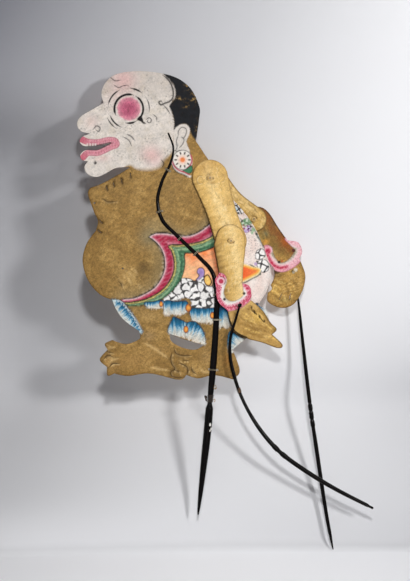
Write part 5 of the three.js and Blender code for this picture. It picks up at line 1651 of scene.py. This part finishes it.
def rod_mesh(name, points, y, widths, deep=None, sides=22, round_ends=(0, 0)):
    """A scraped rod: an oval at each place of its line, from lists of (distance, half size)."""
    line, run = rod_line(points, y)
    _, across = frames(line)
    wide = np.interp(run, *np.transpose(widths))
    thick = wide if deep is None else deep(run)
    ease = np.ones(len(run))
    for length, from_end in zip(round_ends, (run, run[-1] - run)):
        if length:
            ease *= np.sqrt(1 - np.clip(1 - from_end / length, 0, 0.985) ** 2)
    turn = 2 * math.pi * np.arange(sides) / sides
    rings = [
        p + np.outer(np.cos(turn) * w * e, c) + np.outer(np.sin(turn) * t * e, (0, 1, 0))
        for p, c, w, t, e in zip(line, across, wide, thick, ease)
    ]
    return mesh_of(name, *skin(rings))


def give_grain(mesh, points, y):
    """Writes how far along a rod, and how far to each side of its line, each point is, in mm."""
    line, run = rod_line(points, y, 2.0)
    _, across = frames(line)
    found = kdtree.KDTree(len(line))
    for i, place in enumerate(line):
        found.insert(place, i)
    found.balance()
    spots = np.array([vertex.co[:] for vertex in mesh.vertices]) / MM
    nearest = np.array([found.find(spot)[1] for spot in spots])
    off = spots - line[nearest]
    side = (off * across[nearest]).sum(axis=1)
    values = np.stack([run[nearest], side, off[:, 1]], axis=1)
    mesh.attributes.new("grain", "FLOAT_VECTOR", "POINT").data.foreach_set("vector", values.ravel())


def carve(mesh, tool, operation):
    """The mesh with a tool mesh cut from it or joined to it."""
    body, cutter = (bpy.data.objects.new("carving", m) for m in (mesh, tool))
    for made in (body, cutter):
        bpy.context.scene.collection.objects.link(made)
    step = body.modifiers.new("cut", "BOOLEAN")
    step.operation, step.object, step.solver = operation, cutter, "EXACT"
    result = bpy.data.meshes.new_from_object(body.evaluated_get(bpy.context.evaluated_depsgraph_get()))
    for made in (body, cutter):
        bpy.data.objects.remove(made)
    return result


# %% [markdown]
# ## The main rod
# The handle is thick and pointed so that it can be pushed into a soft trunk. Above a turned neck the horn is
# split in two, and the thin legs run up both faces of the hide, which they grip. The rod is therefore made
# whole first, and a slot as wide as the hide is then sawn down into it, just as the maker does.

# %% Main rod
MAIN_LINE = [
    (0, 0), (7.5, 65.5), (14, 124), (18, 172.5), (22.5, 222), (26.5, 283), (27, 325.5), (20.5, 355), (2, 376),
    (-33, 410), (-52, 430.5), (-59, 458.5), (-52.5, 487), (-40, 514), (-36, 536), (-44, 559),
]
MAIN_WIDTHS = [
    (0, 1), (12, 2.2), (33, 3.4), (66, 4.6), (95, 5.4), (125, 5.7), (148, 5.8), (157, 5.5), (162, 3.7),
    (165, 3.3), (172, 3.3), (179, 4.2), (186, 4.7), (200, 5), (225, 5.1), (254, 4.8), (284, 4.5),
    (320, 4.1), (352, 3.3), (385, 3.1), (420, 2.8), (462, 3), (490, 2.8), (520, 2.6), (535, 2.4),
    (560, 1.8), (583, 1.6),
]
LEG_SEAT, ROUND_TO, SLOT_FOOT = 1.3, 179, 181
LEG_DEPTHS = [(ROUND_TO, 4.2), (200, 4.8), (330, 4.8), (378, 3.2), (530, 3.2), (583, 2.4)]


def main_deep(run):
    """Half of the main rod's depth from front to back, at each distance along it."""
    round_part = np.interp(run, *np.transpose(MAIN_WIDTHS))
    return np.where(run < ROUND_TO, round_part, np.interp(run, *np.transpose(LEG_DEPTHS)))


def block(low, high):
    """A box, for cutting."""
    corners = [(x, y, z) for x in (low[0], high[0]) for y in (low[1], high[1]) for z in (low[2], high[2])]
    faces = [(0, 1, 3, 2), (4, 6, 7, 5), (0, 4, 5, 1), (2, 3, 7, 6), (0, 2, 6, 4), (1, 5, 7, 3)]
    return mesh_of("block", corners, faces)


def soften_edges(mesh, width, angle=40):
    """Rounds the edges that a cut has left sharp."""
    held = bpy.data.objects.new("easing", mesh)
    bpy.context.scene.collection.objects.link(held)
    step = held.modifiers.new("ease", "BEVEL")
    step.width, step.segments = width * MM, 2
    step.limit_method, step.angle_limit = "ANGLE", math.radians(angle)
    step.use_clamp_overlap = True
    result = bpy.data.meshes.new_from_object(held.evaluated_get(bpy.context.evaluated_depsgraph_get()))
    bpy.data.objects.remove(held)
    result.shade_smooth()
    return result


whole = rod_mesh("main_rod_horn", MAIN_LINE, 0, MAIN_WIDTHS, main_deep, sides=26, round_ends=(1.5, 3))
forked = carve(whole, block((-120, -LEG_SEAT, SLOT_FOOT), (120, LEG_SEAT, 640)), "DIFFERENCE")
forked = soften_edges(forked, 0.25)
give_grain(forked, MAIN_LINE, 0)
forked.materials.clear()
show("main_rod_horn", forked, CHIPPED_HORN, "figure", ["main_rod"])
print("main rod has", len(forked.polygons), "faces")

# %% [markdown]
# ## The arm rods
# The hands are worked by two thinner rods. Each ends above in a round eye, bored across for the loop of
# thread that ties it to the hand. The carver left small collars and beads on them, where the fingers hold.
# Each is scraped from one horn, so its eye and its rod are joined into one body and the bore is cut last.

# %% Arm rods
ROD_LAYER, EYE_RADIUS, EYE_BORE = 14.2, 3.0, 1.7
FRONT_EYE, REAR_EYE = (60.757, 306.406), (139.917, 354.569)
FRONT_ROD = [(0, 0), (-6.5, -22), (-13.5, -46.5), (-14, -74.5), (-7.5, -105), (5.5, -140), (28, -178.5),
             (56.5, -211.5), (92.5, -238.5), (137.5, -266), (194, -295)]
FRONT_WIDTHS = [
    (0, 1.4), (12, 1.7), (50, 2.2), (76, 2.5), (100, 2.7), (126, 2.4), (150, 2.4), (170, 2.7), (190, 3),
    (222, 3.3), (224, 3.8), (231, 3.8), (233, 3), (238, 3), (240, 3.8), (246, 3.8), (248, 3.4), (280, 3.4),
    (320, 3.2), (384, 2.6), (388, 1.8),
]
REAR_ROD = [(0, 0), (6.5, -36.5), (13.5, -99.5), (24.5, -194.5), (33, -253), (48.5, -355), (58.5, -407.5)]
REAR_WIDTHS = [
    (0, 1.4), (40, 1.6), (69, 2.1), (100, 2.4), (148, 2.8), (192, 2.9), (194, 2.4), (197, 3.4), (203, 3.4),
    (205, 2.5), (208, 3.4), (216, 3.4), (218, 2.5), (221, 3.4), (227, 3.4), (229, 2.7), (255, 3.1), (307, 3),
    (358, 2.7), (385, 2.5), (400, 1.7), (412, 0.8),
]


def turned(profile, place, side, sides=32):
    """Points and faces of a closed shape turned about the y axis, from (radius, distance) pairs."""
    turn = 2 * math.pi * np.arange(sides) / sides
    ways = np.stack([np.cos(turn), np.zeros(sides), np.sin(turn)], axis=1)
    rings = [np.array(place) + ways * radius + (0, side * distance, 0) for radius, distance in profile]
    return skin(rings if side > 0 else [ring[::-1] for ring in rings])


def eye_ball(place, side):
    """The round head of an arm rod."""
    steps = [math.pi * (i + 0.35) / 14.7 for i in range(15)]
    profile = [(EYE_RADIUS * math.sin(t), -EYE_RADIUS * math.cos(t)) for t in steps]
    return mesh_of("eye", *turned(profile, place, side, 28))


def bore(place):
    """A round tool that goes through an eye from side to side."""
    turn = 2 * math.pi * np.arange(20) / 20
    ring = np.stack([np.zeros(20), np.cos(turn), np.sin(turn)], axis=1) * EYE_BORE / 2
    return mesh_of("bore", *skin([np.array(place) + ring + (x, 0, 0) for x in (-8, 8)]))


def arm_rod(name, side, eye, rod, widths, body):
    """A rod with a bored eye at its head. Its points and widths are measured from the eye."""
    place = (eye[0], side * ROD_LAYER, eye[1])
    points = [(eye[0] + x, eye[1] + z) for x, z in rod]
    shaft = rod_mesh(name, points, side * ROD_LAYER, widths, sides=18, round_ends=(0, 1.4))
    joined = carve(shaft, eye_ball(place, side), "UNION")
    bored = soften_edges(carve(joined, bore(place), "DIFFERENCE"), 0.12, 50)
    give_grain(bored, points, side * ROD_LAYER)
    bored.materials.clear()
    print(name, "has", len(bored.polygons), "faces")
    return show(name, bored, HORN, body, [name.replace("_horn", "")])


arm_rod("front_arm_rod_horn", -1, FRONT_EYE, FRONT_ROD, FRONT_WIDTHS, "front_rod")
arm_rod("rear_arm_rod_horn", 1, REAR_EYE, REAR_ROD, REAR_WIDTHS, "rear_rod")

# %% [markdown]
# ## Pins
# Bone pins hold the joints. A pin is turned with a low domed head, pushed through both hides, and fixed by a
# small button on its far end. Old bone is yellow-brown, darker in the turned grooves, with fine dark pores.
# The heads were gilded over with the arms, and only their middles have rubbed bare.


# %% Bone material and pins
def bone_group():
    """Old bone between a light and a dark colour, as a group."""
    tree, given, out = new_group(
        "aged_bone", [("Light", "Color", (0.7, 0.6, 0.4, 1)), ("Dark", "Color", (0.3, 0.2, 0.1, 1))],
        [("Colour", "Color"), ("Roughness", "Float"), ("Height", "Float")],
    )
    spot = add(tree, "ShaderNodeTexCoord").outputs["Object"]
    cloud = add(tree, "ShaderNodeTexNoise", {"Vector": spot, "Scale": 420.0, "Detail": 4.0}).outputs["Fac"]
    pores = add(tree, "ShaderNodeTexVoronoi", {"Vector": spot, "Scale": 1700.0}).outputs["Distance"]
    pit = maths(tree, "MULTIPLY_ADD", pores, -3.5, 1.0, clamp=True)
    share = maths(tree, "MULTIPLY_ADD", cloud, 2.2, -0.7, clamp=True)
    share = maths(tree, "ADD", share, maths(tree, "MULTIPLY", pit, 0.4), clamp=True)
    tree.links.new(mix(tree, share, given["Light"], given["Dark"]), out["Colour"])
    tree.links.new(maths(tree, "MULTIPLY_ADD", share, 0.25, 0.35), out["Roughness"])
    tree.links.new(maths(tree, "MULTIPLY_ADD", pit, -1.0, cloud), out["Height"])
    return tree


BONE, tree, shader = new_material("aged_bone")
gilt = add(tree, "ShaderNodeAttribute", attribute_name="gilt").outputs["Fac"]
light = mix(tree, gilt, (*colour("#A08A62"), 1), (*colour("#D2AE6A"), 1))
dark = mix(tree, gilt, (*colour("#4E3B22"), 1), (*colour("#94703A"), 1))
finish_shader(tree, shader, place_group(tree, bone_group(), {"Light": light, "Dark": dark}), 0.4, 0.0001)

PIN_RADIUS, HEAD_RADIUS, BUTTON_RADIUS, BUTTON_HEIGHT = 1.6, 4.2, 3.4, 0.8
BUTTON_SEAT = 4.6


def pin(name, node, body, place, side, shank):
    """A turned pin: shank, then a low dome with a groove near its rim and a dimple in the middle."""
    dome = [(HEAD_RADIUS, 0.25), (HEAD_RADIUS - 0.12, 0.5), (3.7, 0.72), (3.35, 0.74), (3.15, 0.68),
            (2.95, 0.84), (2.4, 1.02), (1.7, 1.15), (1.1, 1.19), (0.7, 1.12), (0.35, 0.98), (0.05, 0.94)]
    profile = [(0.4, 0), (PIN_RADIUS - 0.15, 0), (PIN_RADIUS, 0.2), (PIN_RADIUS, shank),
               (HEAD_RADIUS - 0.1, shank)]
    profile += [(radius, shank + height) for radius, height in dome]
    mesh = mesh_of(name, *turned(profile, place, side))
    out = [math.hypot(vertex.co.x / MM - place[0], vertex.co.z / MM - place[2]) for vertex in mesh.vertices]
    gild(mesh, np.clip((np.array(out) - 1.0) / 0.8, 0, 1))
    return show(name, mesh, BONE, body, [node])


def button(name, node, body, place, side):
    """A ring round a pin's far end, rounded outside."""
    hole, rim = PIN_RADIUS + CLEAR, BUTTON_RADIUS
    profile = [(hole, 0.1), (hole + 0.1, 0), (rim - 0.35, 0), (rim - 0.1, 0.12), (rim, 0.35),
               (rim, BUTTON_HEIGHT - 0.15), (rim - 0.12, BUTTON_HEIGHT), (hole, BUTTON_HEIGHT)]
    points, _ = turned(profile, place, side)
    mesh = mesh_of(name, *skin(list(points.reshape(len(profile), -1, 3)), closed=True))
    gild(mesh, np.ones(len(mesh.vertices)))
    return show(name, mesh, BONE, body, [node])


FRONT_ELBOW, REAR_ELBOW = (47.957, 399.906), (81.859, 431.984)
shoulder_head = ARM_SEAT + ARM_THICK + CLEAR
shoulder_foot = (SHOULDER[0], shoulder_head + BUTTON_HEIGHT, SHOULDER[1])
pin("shoulder_bone_pin", "shoulder_pin", "figure", shoulder_foot, -1, 2 * shoulder_head + BUTTON_HEIGHT)
button("shoulder_bone_button", "shoulder_button", "figure", shoulder_foot, -1)
for name, side, elbow in (("front", -1, FRONT_ELBOW), ("rear", 1, REAR_ELBOW)):
    foot = (elbow[0], side * BUTTON_SEAT, elbow[1])
    shank = FORE_SEAT + ARM_THICK + CLEAR - BUTTON_SEAT
    pin(f"{name}_elbow_bone_pin", f"{name}_elbow_pin", f"{name}_upper", foot, side, shank)
    button(f"{name}_elbow_bone_button", f"{name}_elbow_button", f"{name}_upper", foot, side)

# %% [markdown]
# ## Threads
# The legs of the main rod are tied through the hide with pale cotton, and most of the ties are soiled. The
# rod's neck is bound with dark tarred thread, and a brown thread mends the front arm rod. A thread is twisted
# from thinner yarns, so its cross-section is a clover that turns as it goes along. Each tie ends in a small
# knot with two short tails that lie flat on the hide.


# %% Thread materials
def thread_group():
    """Fluffy thread, clean in some places and soiled in others, as a group."""
    tree, given, out = new_group(
        "thread_fibre", [("Clean", "Color", (0.6, 0.6, 0.5, 1)), ("Soiled", "Color", (0.3, 0.25, 0.2, 1))],
        [("Colour", "Color"), ("Height", "Float")],
    )
    spot = add(tree, "ShaderNodeTexCoord").outputs["Object"]
    fluff = add(tree, "ShaderNodeTexNoise", {"Vector": spot, "Scale": 5200.0, "Detail": 2.0}).outputs["Fac"]
    soil = add(tree, "ShaderNodeTexNoise", {"Vector": spot, "Scale": 260.0, "Detail": 3.0}).outputs["Fac"]
    share = maths(tree, "MULTIPLY_ADD", soil, 2.6, -0.85, clamp=True)
    share = maths(tree, "MULTIPLY_ADD", maths(tree, "SUBTRACT", fluff, 0.5), 0.8, share, clamp=True)
    tree.links.new(mix(tree, share, given["Clean"], given["Soiled"]), out["Colour"])
    tree.links.new(fluff, out["Height"])
    return tree


THREAD_FIBRE = thread_group()


def thread_material(name, clean, soiled):
    """A dull thread with its clean and its soiled colour."""
    material, tree, shader = new_material(name)
    fibre = place_group(tree, THREAD_FIBRE, {"Clean": (*colour(clean), 1), "Soiled": (*colour(soiled), 1)})
    finish_shader(tree, shader, fibre, 0.5, 0.0001)
    shader.inputs["Roughness"].default_value = 0.88
    shader.inputs["Sheen Weight"].default_value = 0.2
    return material


PALE_THREAD = thread_material("pale_thread", "#D2C8B0", "#9A8763")
SOILED_THREAD = thread_material("soiled_pale_thread", "#A89C80", "#564A36")
BROWN_THREAD = thread_material("brown_thread", "#7A4F28", "#1C120A")
TARRED_THREAD = thread_material("tarred_thread", "#3A2614", "#0D0907")
FRAYED_THREAD = thread_material("frayed_thread", "#B89050", "#5C4220")


# %% Twisting a thread
def thread(points, radius, closed=False, sides=12, yarns=3, lay_length=2.6):
    """Points and faces of a thread twisted from yarns, along places in mm."""
    line = np.asarray(points, float)
    ahead = np.roll(line, -1, 0) - np.roll(line, 1, 0) if closed else np.gradient(line, axis=0)
    ahead /= np.linalg.norm(ahead, axis=1, keepdims=True)
    run = np.concatenate([[0], np.cumsum(np.linalg.norm(np.diff(line, axis=0), axis=1))])
    side = np.cross(ahead[0], (0.31, 0.87, 0.38))
    turn = 2 * math.pi * np.arange(sides) / sides
    rings = []
    for place, way, along in zip(line, ahead, run):
        side = side - way * (side @ way)
        side /= np.linalg.norm(side)
        up = np.cross(way, side)
        swell = radius * (0.88 + 0.12 * np.cos(yarns * (turn - 2 * math.pi * along / lay_length / yarns)))
        rings.append(place + np.outer(np.cos(turn) * swell, side) + np.outer(np.sin(turn) * swell, up))
    return skin(rings, closed)


def knot(place, radius, height, way=(0, 1, 0)):
    """A small overhand knot: three crossing loops of thread pulled into a flat ball."""
    turn = np.linspace(0, 2 * math.pi, 73)[:-1]
    across = np.cross(way, (0.3, 0.1, 0.95))
    across /= np.linalg.norm(across)
    up = np.cross(across, way)
    wide = (radius * 0.62) * (1 + 0.32 * np.cos(3 * turn))
    line = (np.array(place) + np.outer(np.cos(2 * turn) * wide, across)
            + np.outer(np.sin(2 * turn) * wide, up)
            + np.outer(np.sin(3 * turn) * height * 0.12, way))
    return thread(line, min(radius * 0.3, height * 0.38), closed=True, sides=8)


def gather(name, parts):
    """One mesh from several sets of points and faces."""
    points, faces, first = [], [], 0
    for part_points, part_faces in parts:
        points.append(part_points)
        faces += [tuple(first + v for v in face) for face in part_faces]
        first += len(part_points)
    return mesh_of(name, np.vstack(points), faces)


# %% Windings on the rods
TIES, CLEAN_TIE = [212, 285, 322, 392, 424, 474, 538], 285


def at(points, y, distance):
    """Place, and direction across, at distances along a rod's line."""
    line, run = rod_line(points, y, 0.6)
    _, across = frames(line)
    return (np.stack([np.interp(distance, run, part[:, i]) for i in range(3)], axis=-1)
            for part in (line, across))


def winding(points, y, start, turns, pitch, size, wide, deep):
    """The line of a thread wound round a rod from its rear, both ends running off to the sides."""
    turn = np.linspace(0, turns, int(turns * 48) + 1)
    distance = start + turn * pitch
    place, across = at(points, y, distance)
    angle = math.pi / 2 + 2 * math.pi * turn
    line = place + across * (np.cos(angle) * (wide(distance) + CLEAR + size / 2))[:, None]
    line[:, 1] += np.sin(angle) * (deep(distance) + CLEAR + size / 2)
    ends = [line[:1] + across[:1] * size, line[-1:] - across[-1:] * size]
    return np.vstack([ends[0], line, ends[1]])


def wide_of(widths):
    """A function that gives half of a rod's width at each distance along it."""
    return lambda distance: np.interp(distance, *np.transpose(widths))


main_wide, front_wide = wide_of(MAIN_WIDTHS), wide_of(FRONT_WIDTHS)
TIE_THREAD, WHIPPING_THREAD, MENDING_THREAD, LOOP_THREAD = 0.8, 1.1, 0.9, 1.0
for i, start in enumerate(TIES):
    line = winding(MAIN_LINE, 0, start, 2, 1.35, TIE_THREAD, main_wide, main_deep)
    place, across = at(MAIN_LINE, 0, np.array([start + 1.35, start + 1.6]))
    spot = place[0] + across[0] * (main_wide(start) + 2.1)
    spot[1] = -(BODY_HALF + 0.62)
    tails = []
    for tilt in (-0.9, 0.7):
        way = across[0] * (1, 0, 1) * math.cos(tilt) + (0, 0, math.sin(tilt))
        bend = [spot + way * far + (0, deep, up)
                for far, deep, up in ((0, 0, 0), (0.8, 0.1, 0), (1.4, 0.18, 0), (2.0, 0.2, 0.2))]
        tails.append(thread(curve_through(bend, 0.3), 0.26, sides=7))
    mesh = gather(f"tie_thread_{i + 1}", [thread(line, TIE_THREAD / 2), knot(spot, 1.2, 1.0)] + tails)
    cotton = PALE_THREAD if start == CLEAN_TIE else SOILED_THREAD
    show(mesh.name, mesh, cotton, "figure", [f"main_rod_tie_{i + 1}"])

line = winding(MAIN_LINE, 0, 165.5, 7, 1.6, WHIPPING_THREAD, main_wide, main_deep)
parts = [thread(line, WHIPPING_THREAD / 2), knot((11.6, -1.2, 169.5), 3.4, 3.6, (1, 0, 0.2)),
         knot((11.2, -0.6, 172.5), 2.6, 3.2, (0.6, 0.6, 0.4))]
neck = gather("neck_thread", parts)
show("neck_thread", neck, TARRED_THREAD, "figure", ["neck_whipping"])
frayed = [
    [(23.6, -1, 165), (24.8, -2, 167), (24.2, -3, 169.5), (22.6, -3.6, 168)],
    [(24.6, -2, 184.5), (26.4, -3, 187), (25.2, -4.4, 189.5), (23, -4.8, 188.5)],
    [(22.6, -4.6, 186), (25.2, -4.2, 184), (27, -2.4, 186)],
]
ends = [thread(curve_through(points, 0.3), 0.5, sides=8) for points in frayed]
show("frayed_ends", gather("frayed_ends", ends), FRAYED_THREAD, "figure", ["neck_whipping"])
front_points = [(FRONT_EYE[0] + x, FRONT_EYE[1] + z) for x, z in FRONT_ROD]
line = winding(front_points, -ROD_LAYER, 124, 5, 1.4, MENDING_THREAD, front_wide, front_wide)
mending = gather("mending_thread", [thread(line, MENDING_THREAD / 2)])
show("mending_thread", mending, BROWN_THREAD, "front_rod", ["front_rod_mending"])


# %% Loops between hands and rods
def loop_line(eye, side):
    """The closed line of a loop: through the rod's eye, back, and across the face of the hand."""
    reach, corner = EYE_RADIUS + CLEAR + LOOP_THREAD / 2, LOOP_THREAD * 0.8
    low, high = FORE_SEAT + ARM_THICK + CLEAR + LOOP_THREAD / 2, ROD_LAYER
    places = []
    for x, y, quarter in ((reach, high, 0), (-reach, high, 1), (-reach, low, 2), (reach, low, 3)):
        for i in range(7):
            turn = math.pi / 2 * (quarter + i / 6)
            places.append((x - math.copysign(corner, x) + corner * math.cos(turn),
                           y + (-corner if quarter < 2 else corner) + corner * math.sin(turn)))
    return evenly(np.array([(eye[0] + x, side * y, eye[1]) for x, y in places]), 0.3, closed=True)


for name, side, eye in (("front", -1, FRONT_EYE), ("rear", 1, REAR_EYE)):
    under = FORE_SEAT - CLEAR
    low = FORE_SEAT + ARM_THICK + CLEAR + LOOP_THREAD / 2
    stem = np.array([(eye[0], side * y, eye[1]) for y in np.arange(under - 0.5, low + 0.05, 0.3)])
    parts = [thread(loop_line(eye, side), LOOP_THREAD / 2, closed=True), thread(stem, LOOP_THREAD * 0.62),
             knot((eye[0], side * (under - 0.5), eye[1]), 2.2, 1.0)]
    show(f"{name}_loop_thread", gather(f"{name}_loop_thread", parts), PALE_THREAD, f"{name}_loop",
         [f"{name}_rod_loop"])
